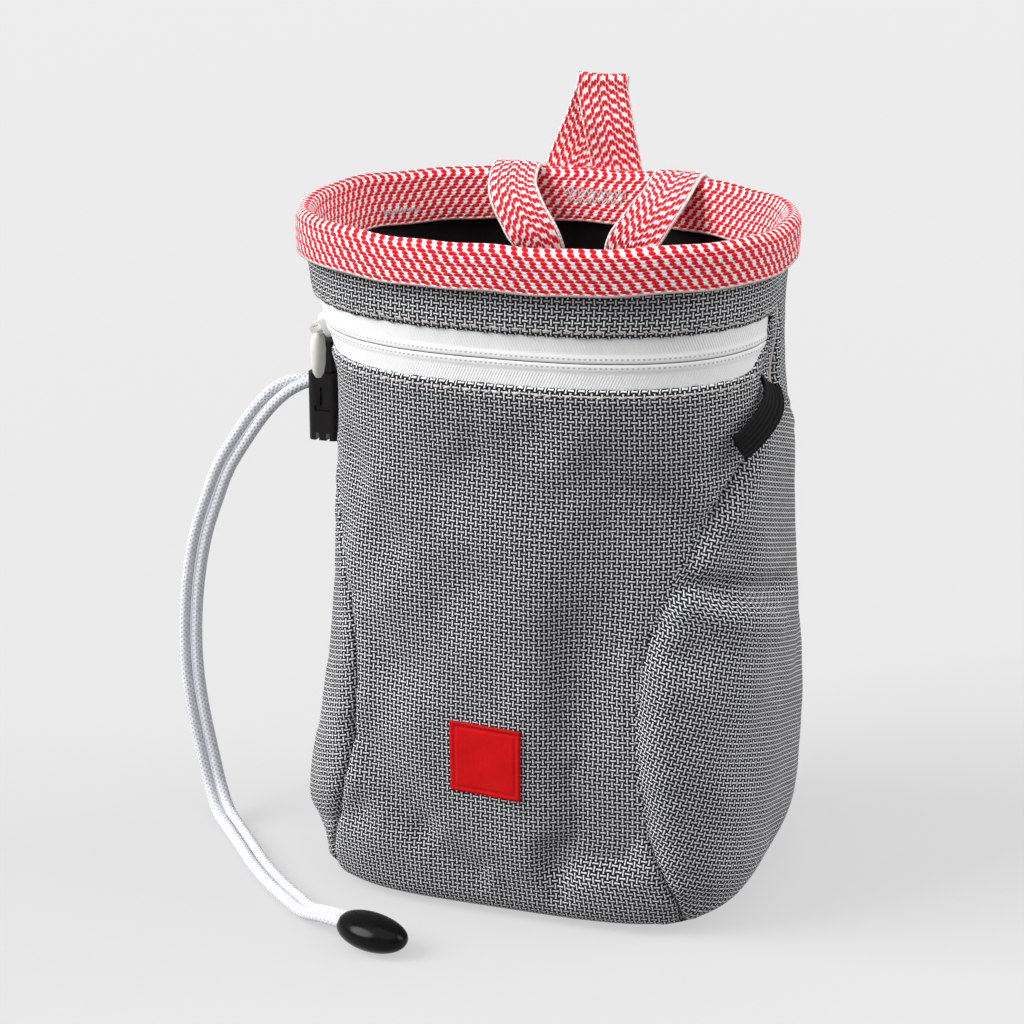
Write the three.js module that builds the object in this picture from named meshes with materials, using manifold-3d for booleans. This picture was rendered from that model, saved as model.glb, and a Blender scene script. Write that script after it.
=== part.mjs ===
// Climbing chalk bag: a soft cloth cup with two teardrop side gussets, a zip pocket across the front, a webbing rim,
// a hang loop, two belt loops, a brush loop and a doubled drawcord with its lock and its end piece.
// Millimetres, +Z up. The front faces -Y, and the origin is the middle of the flat patch that the bag stands on.
import * as THREE from 'three';
import { mergeVertices } from 'three/addons/utils/BufferGeometryUtils.js';
import Module from 'manifold-3d';

// The cloth cup.
const CLOTH_HEIGHT = 171.2;
const HALF_WIDTH = 62;
const HALF_DEPTH = 46;
const REAR_RISE = 2;
const SHELL_WALL = 1.3;
const LINING_WALL = 1.0;
const LINING_SLACK = 2.8;
const LINING_SEWN_SHARE = 0.9;
const PIECE_GAP = 0.3;

// The webbing.
const TAPE_THICKNESS = 1.0;
const STRAP_WIDTH = 13;
const RIM_OUTER_DROP = 12;
const RIM_INNER_DROP = 14;

// The zip pocket. Angles are seen from above, from +X towards +Y.
const ZIP_DROP = 26;
const ZIP_MIDDLE = CLOTH_HEIGHT - ZIP_DROP;
const ZIP_HALF_OPENING = 5.8;
const ZIP_LEFT_ANGLE = -174;
const ZIP_RIGHT_ANGLE = -7;
const ZIP_TAPE_THICKNESS = 0.9;
const ZIP_RECESS = 0.3;
const ZIP_CORNER_ANGLE = 9;
const SLIDER_ANGLE = -167;
const SLIDER_LENGTH = 8;
const SLIDER_HEIGHT = 6.6;
const SLIDER_DROP = 2.8;
const SLIDER_PLATE = 1.8;
const BRIDGE_RADIUS = 0.6;
const BRIDGE_STAND_OFF = 2.3;
const BRIDGE_SPAN = 5.2;
const PULL_LENGTH = 13;
const PULL_WIDTH = 5;
const PULL_THICKNESS = 4;
const PULL_EYE_WALL = 0.9;
const PULL_EYE_WIDTH = 2.2;

// The label and the brush loop.
const LABEL_WIDTH = 18;
const LABEL_HEIGHT = 18.6;
const LABEL_CENTRE_X = 0.9;
const LABEL_CENTRE_HEIGHT = CLOTH_HEIGHT * 0.258;
const LABEL_TILT = -2.5;
const LABEL_THICKNESS = 0.6;
const BRUSH_LOOP_WIDTH = 8;
const BRUSH_LOOP_THICKNESS = 1.2;
const BRUSH_LOOP_RISE = 1.2;

// The webbing loops at the rear.
const BELT_LOOP_SPACING = 46;
const BELT_LOOP_SHIFT = -1;
const BELT_LOOP_INNER_SPACING = 21;
const BELT_LOOP_STAND_OFF = 9.2;
const BELT_LOOP_RISE = 1.6;
const BELT_LOOP_REACH = 13;
const BELT_LOOP_TAIL = 38;
const HANG_LOOP_RISE = 25;
const HANG_LOOP_TAIL = 20;
const HANG_LOOP_BULGE = 6.8;
const HANG_LEG_NEAR_X = 3.6;
const HANG_LEG_FAR_X = -9.8;
const HANG_TOP_X = -1;

// The drawcord, its lock and its end piece.
const CORD_DIAMETER = 3;
const CORD_SPACING = 3.2;
const CORD_CENTRE_Y = 6;
const CORD_EXIT_DROP = 49.7;
const CORD_EXIT_HEIGHT = CLOTH_HEIGHT - CORD_EXIT_DROP;
const CORD_LYING = CORD_DIAMETER / 2 + 0.1;
const LOCK_CENTRE_X = -HALF_WIDTH * 0.98;
const LOCK_SIZE_X = 8.6;
const LOCK_SIZE_Y = 11.8;
const LOCK_BARREL_BOTTOM = CORD_EXIT_HEIGHT - 14.5;
const LOCK_BARREL_TOP = CORD_EXIT_HEIGHT + 3.5;
const LOCK_BUTTON_TOP = CORD_EXIT_HEIGHT + 12;
const LOCK_WALL = 1.0;
const LOCK_TRAVEL = 4;
const LOCK_CORNER = 2;
const END_LENGTH = 20.5;
const END_WIDTH = 12;
const END_HEIGHT = 8.7;

// Makes row objects from a header of column names and rows of numbers.
const table = (columns, rows) =>
  rows.map((row) => Object.fromEntries(columns.map((name, k) => [name, row[k]])));

// Sections of the cup. Heights are shares of the cloth height, reaches are shares of the half width (left, right) and
// of the half depth (front, rear), and square is the exponent of the rounded section: 2 is an ellipse.
const SECTIONS = table(['height', 'left', 'right', 'front', 'rear', 'square'], [
  [0.000, 0.73, 0.81, 0.78, 0.80, 3.8],
  [0.015, 0.78, 0.89, 0.90, 0.92, 4.3],
  [0.052, 0.83, 0.98, 0.95, 0.98, 4.2],
  [0.122, 0.89, 1.02, 1.00, 1.01, 4.0],
  [0.262, 0.84, 1.035, 1.02, 1.02, 3.8],
  [0.380, 0.79, 1.035, 1.02, 1.01, 3.5],
  [0.526, 0.78, 1.00, 1.01, 1.00, 3.1],
  [0.678, 0.79, 0.99, 1.00, 0.99, 2.8],
  [0.794, 0.81, 0.96, 1.00, 0.99, 2.6],
  [0.864, 0.89, 0.96, 0.99, 0.99, 2.45],
  [0.935, 0.95, 0.97, 0.99, 0.99, 2.35],
  [1.000, 0.97, 0.985, 1.00, 1.00, 2.25],
]);

// Dents (+) and bulges (-) of the cloth. angle and wide are degrees, high is a share of the cloth height, and depth is
// a share of the half depth.
const DENTS = table(['angle', 'height', 'depth', 'wide', 'high'], [
  [-60, 0.40, 0.050, 13, 0.20],
  [-122, 0.36, 0.038, 13, 0.18],
  [-6, 0.79, 0.035, 9, 0.07],
  [-104, 0.66, 0.030, 24, 0.12],
  [-75, 0.74, 0.022, 14, 0.05],
  [92, 0.50, 0.055, 26, 0.22],
  [196, 0.56, -0.030, 12, 0.07],
  [150, 0.72, 0.045, 14, 0.12],
  [35, 0.70, 0.040, 14, 0.14],
]);

// Half width of a gusset in degrees from the side, front and rear, against its share of the gusset's height.
const GUSSET_FOOT = 2.4;
const GUSSET_TIP_DROP = 40.2;
const GUSSET_TIP = CLOTH_HEIGHT - GUSSET_TIP_DROP;
const GUSSET = table(['rise', 'front', 'rear'], [
  [0.00, 36, 36],
  [0.05, 39, 39],
  [0.12, 43.5, 43],
  [0.20, 47, 46],
  [0.32, 49.8, 48],
  [0.44, 50, 48],
  [0.56, 47.8, 46],
  [0.67, 42, 41],
  [0.78, 33.5, 33],
  [0.86, 25, 25],
  [0.93, 15, 15],
  [1.00, 1.5, 1.5],
]);

// The middle line of the doubled drawcord, by hand: out of the lock, down in a bow, and over the floor to the end piece.
// out and front are shares of the half width and the half depth, and lift is the share of the way from the floor to
// the lock. turn and rise give the direction from the inner strand to the outer one, in degrees.
const CORD_ROUTE = table(['out', 'front', 'lift', 'turn', 'rise'], [
  [-0.7774, 0.1304, 1.0000, 90, 0],
  [-0.8468, 0.1304, 1.0000, 90, 0],
  [-0.9194, 0.1304, 1.0000, 90, 0],
  [-0.9919, 0.1304, 1.0000, 90, 0],
  [-1.0645, 0.1261, 1.0000, 92, 3],
  [-1.1371, 0.0957, 0.9908, 110, 30],
  [-1.2032, 0.0565, 0.9700, 150, 48],
  [-1.2677, 0.0130, 0.9324, 180, 42],
  [-1.3387, -0.0391, 0.8757, 192, 32],
  [-1.4129, -0.0826, 0.8073, 197, 24],
  [-1.4645, -0.1109, 0.7339, 199, 18],
  [-1.5097, -0.1391, 0.6572, 199, 11],
  [-1.5419, -0.1609, 0.5655, 199, 5],
  [-1.5597, -0.1739, 0.4721, 199, 0],
  [-1.5629, -0.1826, 0.3820, 199, -4],
  [-1.5532, -0.1848, 0.3003, 199, -8],
  [-1.5306, -0.1848, 0.2168, 200, -12],
  [-1.5000, -0.1870, 0.1368, 202, -14],
  [-1.4645, -0.2043, 0.0651, 205, -14],
  [-1.4032, -0.2739, 0.0150, 210, -8],
  [-1.3097, -0.4000, 0.0008, 214, 0],
  [-1.1968, -0.5783, 0.0000, 217, 0],
  [-1.0710, -0.7826, 0.0000, 222, 0],
  [-0.9387, -0.9696, 0.0000, 228, 0],
  [-0.8065, -1.1304, 0.0000, 232, 0],
  [-0.6871, -1.2696, 0.0042, 238, 0],
  [-0.5710, -1.3630, 0.0200, 244, 0],
  [-0.4548, -1.4217, 0.0242, 248, 0],
]);

const COLOURS = {
  cloth: { color: 0x77797c, roughness: 0.85, metalness: 0 },
  lining: { color: 0x17161a, roughness: 0.7, metalness: 0 },
  webbing: { color: 0xc9525c, roughness: 0.75, metalness: 0 },
  zip_tape: { color: 0xe6e6e4, roughness: 0.6, metalness: 0 },
  pull: { color: 0xe9e5dc, roughness: 0.5, metalness: 0 },
  label: { color: 0xb3161d, roughness: 0.7, metalness: 0 },
  elastic: { color: 0x1b1a1d, roughness: 0.8, metalness: 0 },
  cord: { color: 0xe2e4ea, roughness: 0.65, metalness: 0 },
  lock: { color: 0x1f1b1b, roughness: 0.4, metalness: 0 },
  cord_end: { color: 0x100f10, roughness: 0.2, metalness: 0 },
};

const TURN = Math.PI * 2;
const radians = THREE.MathUtils.degToRad;
const vector = (x, y, z) => new THREE.Vector3(x, y, z);
const spread = (from, to, steps) =>
  Array.from({ length: steps + 1 }, (_, k) => from + ((to - from) * k) / steps);

// Reads a column of a table at a share, along a smooth curve through its rows.
function readTable(rows, key, column, at) {
  const last = rows.length - 1;
  const k = Math.max(0, Math.min(last - 1, rows.findIndex((row) => row[key] > at) - 1 + (at >= rows[last][key] ? last + 1 : 0)));
  const slope = (i) => {
    const a = rows[Math.max(0, i - 1)];
    const b = rows[Math.min(last, i + 1)];
    return (b[column] - a[column]) / (b[key] - a[key]);
  };
  const span = rows[k + 1][key] - rows[k][key];
  const t = Math.max(0, Math.min(1, (at - rows[k][key]) / span));
  const h = t * t * (3 - 2 * t);
  return rows[k][column] * (1 - h) + rows[k + 1][column] * h
    + span * t * (1 - t) * ((1 - t) * slope(k) - t * slope(k + 1));
}

// How far a dent reaches at a distance from its middle, 1 in the middle and 0 one reach away.
const bump = (distance) => (Math.abs(distance) < 1 ? Math.cos((distance * Math.PI) / 2) ** 2 : 0);
const turnBetween = (a, b) => ((((a - b) % 360) + 540) % 360) - 180;

// Point of the cup's outer face, at an angle seen from above and a share of the height.
function facePoint(angle, share, dents = DENTS) {
  const a = radians(angle);
  const read = (column) => readTable(SECTIONS, 'height', column, share);
  const reachX = HALF_WIDTH * read(Math.cos(a) < 0 ? 'left' : 'right');
  const reachY = HALF_DEPTH * read(Math.sin(a) < 0 ? 'front' : 'rear');
  const square = read('square');
  let radius = (Math.abs(Math.cos(a) / reachX) ** square + Math.abs(Math.sin(a) / reachY) ** square) ** (-1 / square);
  for (const dent of dents) {
    const sideways = bump(turnBetween(angle, dent.angle) / dent.wide);
    radius -= HALF_DEPTH * dent.depth * sideways * bump((share - dent.height) / dent.high);
  }
  const height = share * (CLOTH_HEIGHT + (REAR_RISE / 2) * Math.sin(a));
  return vector(radius * Math.cos(a), radius * Math.sin(a), height);
}

// Outward normal of that face. The bottom edge looks straight down, so that the base keeps its wall.
function faceNormal(angle, share, dents = DENTS) {
  if (share <= 0) return vector(0, 0, -1);
  const place = (turn, rise) => facePoint(angle + turn, Math.max(0, Math.min(1, share + rise)), dents);
  const around = place(1.5, 0).sub(place(-1.5, 0));
  const up = place(0, 0.008).sub(place(0, -0.008));
  return around.cross(up).normalize();
}

// Point at an offset from the face: outwards above 0, inwards below it.
const clothPoint = (angle, share, offset = 0, dents = DENTS) =>
  facePoint(angle, share, dents).addScaledVector(faceNormal(angle, share, dents), offset);

// The same at an offset that is kept level, so that the height stays.
function levelPoint(angle, share, offset) {
  const out = faceNormal(angle, share).setZ(0).normalize();
  return facePoint(angle, share).addScaledVector(out, offset);
}

const shareAt = (height, angle) => height / (CLOTH_HEIGHT + (REAR_RISE / 2) * Math.sin(radians(angle)));

// Closed skin over rings of the same number of points. An open row of rings gets a fan over each end.
function loft(rings, joined = false) {
  const count = rings[0].length;
  const points = rings.flat();
  const faces = [];
  const pairs = joined ? rings.length : rings.length - 1;
  for (let i = 0; i < pairs; i += 1) {
    const low = i * count;
    const high = ((i + 1) % rings.length) * count;
    for (let j = 0; j < count; j += 1) {
      const next = (j + 1) % count;
      faces.push(low + j, low + next, high + next, low + j, high + next, high + j);
    }
  }
  const fan = (ring, start, flip) => {
    const middle = points.length;
    points.push(ring.reduce((sum, p) => sum.add(p), vector(0, 0, 0)).divideScalar(count));
    for (let j = 0; j < count; j += 1) {
      const edge = [start + j, start + ((j + 1) % count)];
      faces.push(middle, ...(flip ? edge.reverse() : edge));
    }
  };
  if (!joined) {
    fan(rings[0], 0, true);
    fan(rings[rings.length - 1], (rings.length - 1) * count, false);
  }
  const volume = faces.reduce((sum, _, k) => (k % 3 ? sum
    : sum + points[faces[k]].dot(points[faces[k + 1]].clone().cross(points[faces[k + 2]]))), 0);
  if (volume < 0) faces.reverse();
  const geometry = new THREE.BufferGeometry();
  geometry.setAttribute('position', new THREE.Float32BufferAttribute(points.flatMap((p) => p.toArray()), 3));
  geometry.setIndex(faces);
  return geometry;
}

// Solids for joining and cutting.
const wasm = await Module();
wasm.setup();

function solid(geometry) {
  const bare = geometry.clone();
  bare.deleteAttribute('normal');
  bare.deleteAttribute('uv');
  const merged = mergeVertices(bare, 1e-4);
  return new wasm.Manifold(new wasm.Mesh({
    numProp: 3,
    vertProperties: new Float32Array(merged.attributes.position.array),
    triVerts: new Uint32Array(merged.index.array),
  }));
}

function geometryOf(body) {
  const mesh = body.getMesh();
  const geometry = new THREE.BufferGeometry();
  geometry.setAttribute('position', new THREE.Float32BufferAttribute(mesh.vertProperties, 3));
  geometry.setIndex(Array.from(mesh.triVerts));
  return geometry;
}

const bag = new THREE.Group();
bag.name = 'chalk_bag';

function addPiece(name, geometry, look, parent = bag) {
  const mesh = new THREE.Mesh(geometry, new THREE.MeshStandardMaterial(COLOURS[look]));
  mesh.name = name;
  parent.add(mesh);
  return mesh;
}

const box = (sizeX, sizeY, sizeZ, x, y, z) => new THREE.BoxGeometry(sizeX, sizeY, sizeZ).translate(x, y, z);

// Cup of cloth: outer rings up, inner rings down, closed over the base. offsetAt gives the outer face's offset.
const CUP_ANGLES = spread(0, 360, 40).slice(0, -1);

function cup(shares, offsetAt, wall, dents) {
  const ring = (share, inset) => CUP_ANGLES.map((angle) => clothPoint(angle, share, offsetAt(share) - inset, dents));
  const outer = shares.map((share) => ring(share, 0));
  const inner = shares.map((share) => ring(share, wall)).reverse();
  return loft([...outer, ...inner]);
}

const SHELL_SHARES = [0, 0.007, 0.02, 0.05, 0.09, 0.14, 0.2, 0.27, 0.34, 0.41, 0.48, 0.55, 0.62, 0.69, 0.75, 0.81, 0.87,
  0.93, 1];
const LINING_SHARES = [0, 0.02, 0.06, 0.14, 0.34, 0.6, 0.78, 0.9, 0.95, 0.997];

// Radii of the cutters, as shares of the half width: close together where they meet the cloth, so that the cut is smooth.
const CUT_RADII = [0.15, 0.6, 0.73, 0.86, 0.99, 1.12, 2.4].map((share) => share * HALF_WIDTH);

// Ring of a radial cutter at one height, out along one angle and back along another.
const radialRing = (angleA, angleB, height) => {
  const ray = (angle) => CUT_RADII.map((radius) => vector(radius * Math.cos(radians(angle)),
    radius * Math.sin(radians(angle)), height));
  return [...ray(angleA), ...ray(angleB).reverse()];
};

// Teardrop cutter of a gusset, grown by a margin on every side. side is 0 degrees at the right and 180 at the left.
function gussetCutter(side, margin) {
  const marginAngle = THREE.MathUtils.radToDeg(margin / HALF_WIDTH);
  const mirror = side === 0 ? 1 : -1;
  return solid(loft(GUSSET.map((row) => {
    const height = THREE.MathUtils.lerp(GUSSET_FOOT - margin, GUSSET_TIP + margin, row.rise);
    const front = side - mirror * (row.front + marginAngle);
    const rear = side + mirror * (row.rear + marginAngle);
    return radialRing(front, rear, height);
  })));
}

// Height of the zip opening's lower edge, which rounds up at its right end.
function zipLowEdge(angle) {
  const along = Math.max(0, 1 - (ZIP_RIGHT_ANGLE - angle) / ZIP_CORNER_ANGLE);
  return ZIP_MIDDLE - ZIP_HALF_OPENING * (1 - 0.75 * along ** 2);
}

const ZIP_ANGLES = [...spread(ZIP_LEFT_ANGLE, ZIP_RIGHT_ANGLE - ZIP_CORNER_ANGLE, 22),
  ...spread(ZIP_RIGHT_ANGLE - ZIP_CORNER_ANGLE, ZIP_RIGHT_ANGLE, 4).slice(1)];

function zipCutter() {
  const edge = THREE.MathUtils.radToDeg(PIECE_GAP / HALF_WIDTH);
  return solid(loft(ZIP_ANGLES.map((angle, k) => {
    const at = angle + (k === 0 ? -edge : 0) + (k === ZIP_ANGLES.length - 1 ? edge : 0);
    const ray = (radius, z) => vector(radius * Math.cos(radians(at)), radius * Math.sin(radians(at)), z);
    const low = zipLowEdge(angle) - 2 * PIECE_GAP;
    const high = ZIP_MIDDLE + ZIP_HALF_OPENING + 2 * PIECE_GAP;
    const inside = HALF_DEPTH * 0.8;
    const outside = HALF_WIDTH * 1.15;
    return [ray(inside, low), ray(inside, high), ray(outside, high), ray(outside, low)];
  })));
}

// Sheet that lies on the cup between two edges, given by functions of the angle as heights.
function clothStrip(angles, lowEdge, highEdge, rows, outside, thickness) {
  return loft(angles.map((angle) => {
    const shares = spread(shareAt(lowEdge(angle), angle), shareAt(highEdge(angle), angle), rows);
    const outer = shares.map((share) => levelPoint(angle, share, outside));
    const inner = shares.map((share) => levelPoint(angle, share, outside - thickness)).reverse();
    return [...outer, ...inner];
  }));
}

// The cloth panels, cut from one cup.
const shell = solid(cup(SHELL_SHARES, () => 0, SHELL_WALL, DENTS));
const leftCord = solid(box(14, CORD_SPACING + CORD_DIAMETER + 2 * PIECE_GAP, CORD_DIAMETER + 2 * PIECE_GAP,
  -HALF_WIDTH * 0.79, CORD_CENTRE_Y, CORD_EXIT_HEIGHT));
const mainBody = shell.subtract(gussetCutter(0, PIECE_GAP / 2)).subtract(gussetCutter(180, PIECE_GAP / 2))
  .subtract(zipCutter());
addPiece('main_panel', geometryOf(mainBody), 'cloth');
addPiece('side_panel_right', geometryOf(shell.intersect(gussetCutter(0, -PIECE_GAP / 2))), 'cloth');
addPiece('side_panel_left', geometryOf(shell.intersect(gussetCutter(180, -PIECE_GAP / 2)).subtract(leftCord)), 'cloth');

// The lining is sewn in at the rim and hangs a little slack below it.
function liningOffset(share) {
  const slack = THREE.MathUtils.smoothstep(LINING_SEWN_SHARE - share, 0, 0.12) * Math.min(1, share / 0.05);
  return -SHELL_WALL - PIECE_GAP - LINING_SLACK * slack;
}
addPiece('lining', cup(LINING_SHARES, liningOffset, LINING_WALL, []), 'lining');

// The rim binding: webbing folded over the cloth's and the lining's top edges.
const RIM_OUTSIDE = PIECE_GAP + TAPE_THICKNESS;
const RIM_INSIDE = -(SHELL_WALL + LINING_WALL + 2 * PIECE_GAP + TAPE_THICKNESS);
const RIM_TOP = PIECE_GAP + TAPE_THICKNESS;

function rimProfile(angle) {
  const outDrop = RIM_OUTER_DROP - RIM_TOP;
  const inDrop = RIM_INNER_DROP - RIM_TOP;
  const crown = TAPE_THICKNESS * 0.8;
  const profile = [
    [RIM_OUTSIDE, -outDrop], [RIM_OUTSIDE, -outDrop / 2], [RIM_OUTSIDE, RIM_TOP - crown], [RIM_OUTSIDE - crown, RIM_TOP],
    [RIM_INSIDE + crown, RIM_TOP], [RIM_INSIDE, RIM_TOP - crown], [RIM_INSIDE, -inDrop / 2], [RIM_INSIDE, -inDrop],
    [RIM_INSIDE + TAPE_THICKNESS, -inDrop], [RIM_INSIDE + TAPE_THICKNESS, -inDrop / 2],
    [RIM_INSIDE + TAPE_THICKNESS, PIECE_GAP],
    [RIM_OUTSIDE - TAPE_THICKNESS, PIECE_GAP], [RIM_OUTSIDE - TAPE_THICKNESS, -outDrop / 2],
    [RIM_OUTSIDE - TAPE_THICKNESS, -outDrop],
  ];
  const top = facePoint(angle, 1).z;
  return profile.map(([offset, rise]) => {
    return levelPoint(angle, Math.min(1, 1 + rise / top), offset).setZ(top + rise);
  });
}
addPiece('rim_binding', loft(CUP_ANGLES.map(rimProfile), true), 'webbing');

// The zip: two tapes that meet at the middle line, the slider at its left end and the pull that hangs on it.
addPiece('zip_tape_lower', clothStrip(ZIP_ANGLES, zipLowEdge, () => ZIP_MIDDLE - PIECE_GAP / 2, 1, -ZIP_RECESS,
  ZIP_TAPE_THICKNESS), 'zip_tape');
addPiece('zip_tape_upper', clothStrip(ZIP_ANGLES, () => ZIP_MIDDLE + PIECE_GAP / 2, () => ZIP_MIDDLE + ZIP_HALF_OPENING,
  1, -ZIP_RECESS, ZIP_TAPE_THICKNESS), 'zip_tape');

// The slider's own frame: x along the zip, y up the cloth, z away from it, with its origin on the back of its plate.
// The bar's frame: the same at the middle of the bar, but level, because the pull hangs.
const sliderShare = shareAt(ZIP_MIDDLE - SLIDER_DROP, SLIDER_ANGLE);
const sliderOut = faceNormal(SLIDER_ANGLE, sliderShare);
const sliderAlong = vector(0, 0, 1).cross(sliderOut).normalize();
const levelOut = sliderAlong.clone().cross(vector(0, 0, 1));

function frameAt(place, out) {
  const frame = new THREE.Group();
  frame.quaternion.setFromRotationMatrix(new THREE.Matrix4().makeBasis(sliderAlong, out.clone().cross(sliderAlong), out));
  frame.position.copy(place);
  bag.add(frame);
  return frame;
}
const sliderPlace = clothPoint(SLIDER_ANGLE, sliderShare, PIECE_GAP);
const zipFrame = frameAt(sliderPlace, sliderOut);
const barFrame = frameAt(sliderPlace.clone().addScaledVector(sliderOut, SLIDER_PLATE + BRIDGE_STAND_OFF), levelOut);

function sliderBody() {
  const half = SLIDER_LENGTH / 2;
  const outline = new THREE.Shape();
  outline.moveTo(-half, -SLIDER_HEIGHT * 0.28);
  outline.quadraticCurveTo(-half * 0.5, -SLIDER_HEIGHT * 0.5, 0, -SLIDER_HEIGHT / 2);
  outline.quadraticCurveTo(half, -SLIDER_HEIGHT * 0.5, half, -SLIDER_HEIGHT * 0.2);
  outline.lineTo(half, SLIDER_HEIGHT * 0.2);
  outline.quadraticCurveTo(half, SLIDER_HEIGHT * 0.5, 0, SLIDER_HEIGHT / 2);
  outline.quadraticCurveTo(-half * 0.5, SLIDER_HEIGHT * 0.5, -half, SLIDER_HEIGHT * 0.28);
  const plate = new THREE.ExtrudeGeometry(outline, { depth: SLIDER_PLATE, bevelEnabled: false, curveSegments: 4 });
  const axisHeight = SLIDER_PLATE + BRIDGE_STAND_OFF;
  const bar = new THREE.CylinderGeometry(BRIDGE_RADIUS, BRIDGE_RADIUS, BRIDGE_SPAN, 10).rotateZ(Math.PI / 2)
    .translate(0, 0, axisHeight);
  const post = (x) => solid(box(BRIDGE_RADIUS * 2, BRIDGE_RADIUS * 2, axisHeight + BRIDGE_RADIUS * 0.6, x, 0,
    (axisHeight + BRIDGE_RADIUS * 0.6) / 2 + 0.01));
  const postX = (BRIDGE_SPAN - BRIDGE_RADIUS * 2) / 2;
  return geometryOf(solid(plate).add(solid(bar)).add(post(-postX)).add(post(postX)));
}
addPiece('zip_slider', sliderBody(), 'zip_tape', zipFrame);

// The pull: an eye round the slider's bar and a rounded tab under it.
function pullBody() {
  const eyeInner = BRIDGE_RADIUS + PIECE_GAP;
  const eyeOuter = eyeInner + PULL_EYE_WALL;
  const tabTop = eyeInner + PULL_EYE_WALL * 0.3;
  const profile = [[0, 0], [0.3, 0.01], [0.43, 0.12], [0.5, 0.38], [0.47, 0.66], [0.36, 0.88], [0.18, 0.99], [0, 1]]
    .map(([r, s]) => new THREE.Vector2(r, -s * (PULL_LENGTH - tabTop)));
  const tab = new THREE.LatheGeometry(profile.reverse(), 14).rotateX(Math.PI / 2).rotateX(-Math.PI / 2)
    .scale(PULL_WIDTH, 1, PULL_THICKNESS).translate(0, -tabTop, 0);
  const eye = new THREE.CylinderGeometry(eyeOuter, eyeOuter, PULL_EYE_WIDTH, 14).rotateZ(Math.PI / 2);
  const bore = new THREE.CylinderGeometry(eyeInner, eyeInner, PULL_WIDTH * 2, 14).rotateZ(Math.PI / 2);
  return geometryOf(solid(eye).add(solid(tab)).subtract(solid(bore)));
}
addPiece('zip_pull', pullBody(), 'pull', barFrame);

// The label, a small cloth sheet sewn on the front.
function labelSheet() {
  const centreAngle = -90 + THREE.MathUtils.radToDeg(LABEL_CENTRE_X / HALF_DEPTH);
  const halfAngle = THREE.MathUtils.radToDeg(Math.atan(LABEL_WIDTH / 2 / HALF_DEPTH));
  const middle = (angle) => LABEL_CENTRE_HEIGHT
    + Math.tan(radians(LABEL_TILT)) * HALF_DEPTH * Math.tan(radians(angle - centreAngle));
  return clothStrip(spread(centreAngle - halfAngle, centreAngle + halfAngle, 6), (angle) => middle(angle) - LABEL_HEIGHT / 2,
    (angle) => middle(angle) + LABEL_HEIGHT / 2, 4, PIECE_GAP + LABEL_THICKNESS, LABEL_THICKNESS);
}
addPiece('label', labelSheet(), 'label');

// Flat strap along a curve. A lean, one for each point, is the direction that the width is kept nearest to there.
function strap(points, leans, width, thickness, steps) {
  const curve = new THREE.CatmullRomCurve3(points, false, 'centripetal');
  return loft(spread(0, 1, steps).map((t) => {
    const tangent = curve.getTangentAt(t);
    const place = curve.getUtoTmapping(t) * (leans.length - 1);
    const row = Math.min(leans.length - 2, Math.floor(place));
    const lean = leans[row].clone().lerp(leans[row + 1], place - row);
    const across = lean.clone().addScaledVector(tangent, -lean.dot(tangent)).normalize();
    const out = tangent.clone().cross(across);
    const at = curve.getPointAt(t);
    const corner = (a, b) => at.clone().addScaledVector(across, (a * width) / 2).addScaledVector(out, (b * thickness) / 2);
    return [corner(-1, -1), corner(1, -1), corner(1, 1), corner(-1, 1)];
  }));
}

// The brush loop: an elastic strip that bows out over the top of the right gusset.
const brushEnds = [[-8, GUSSET_TIP + BRUSH_LOOP_WIDTH * 0.4], [-26.5, GUSSET_TIP - BRUSH_LOOP_WIDTH * 0.85]];
const brushPoints = spread(0, 1, 8).map((t) => {
  const angle = THREE.MathUtils.lerp(brushEnds[0][0], brushEnds[1][0], t);
  const height = THREE.MathUtils.lerp(brushEnds[0][1], brushEnds[1][1], t);
  const rise = BRUSH_LOOP_RISE * Math.sin(Math.PI * t) ** 1.2;
  return clothPoint(angle, shareAt(height, angle), PIECE_GAP * 4 + BRUSH_LOOP_THICKNESS / 2 + rise);
});
const brushLean = vector(0.1, Math.sin(radians(30)), -Math.cos(radians(30)));
const brushLeans = brushPoints.map(() => brushLean);
addPiece('brush_loop', strap(brushPoints, brushLeans, BRUSH_LOOP_WIDTH, BRUSH_LOOP_THICKNESS, 18), 'elastic');

// Place on the rear wall at a distance across it and a height, with the wall's level direction there.
function rearPlace(x, height, offsetAt, dents) {
  let angle = 90;
  const at = () => {
    const share = shareAt(height, angle);
    return clothPoint(angle, share, offsetAt(share), dents);
  };
  for (let k = 0; k < 8; k += 1) angle += THREE.MathUtils.radToDeg((at().x - x) / HALF_DEPTH);
  const out = faceNormal(angle, shareAt(height, angle), dents).setZ(0).normalize();
  return { y: at().y, level: out.cross(vector(0, 0, 1)) };
}

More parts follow.
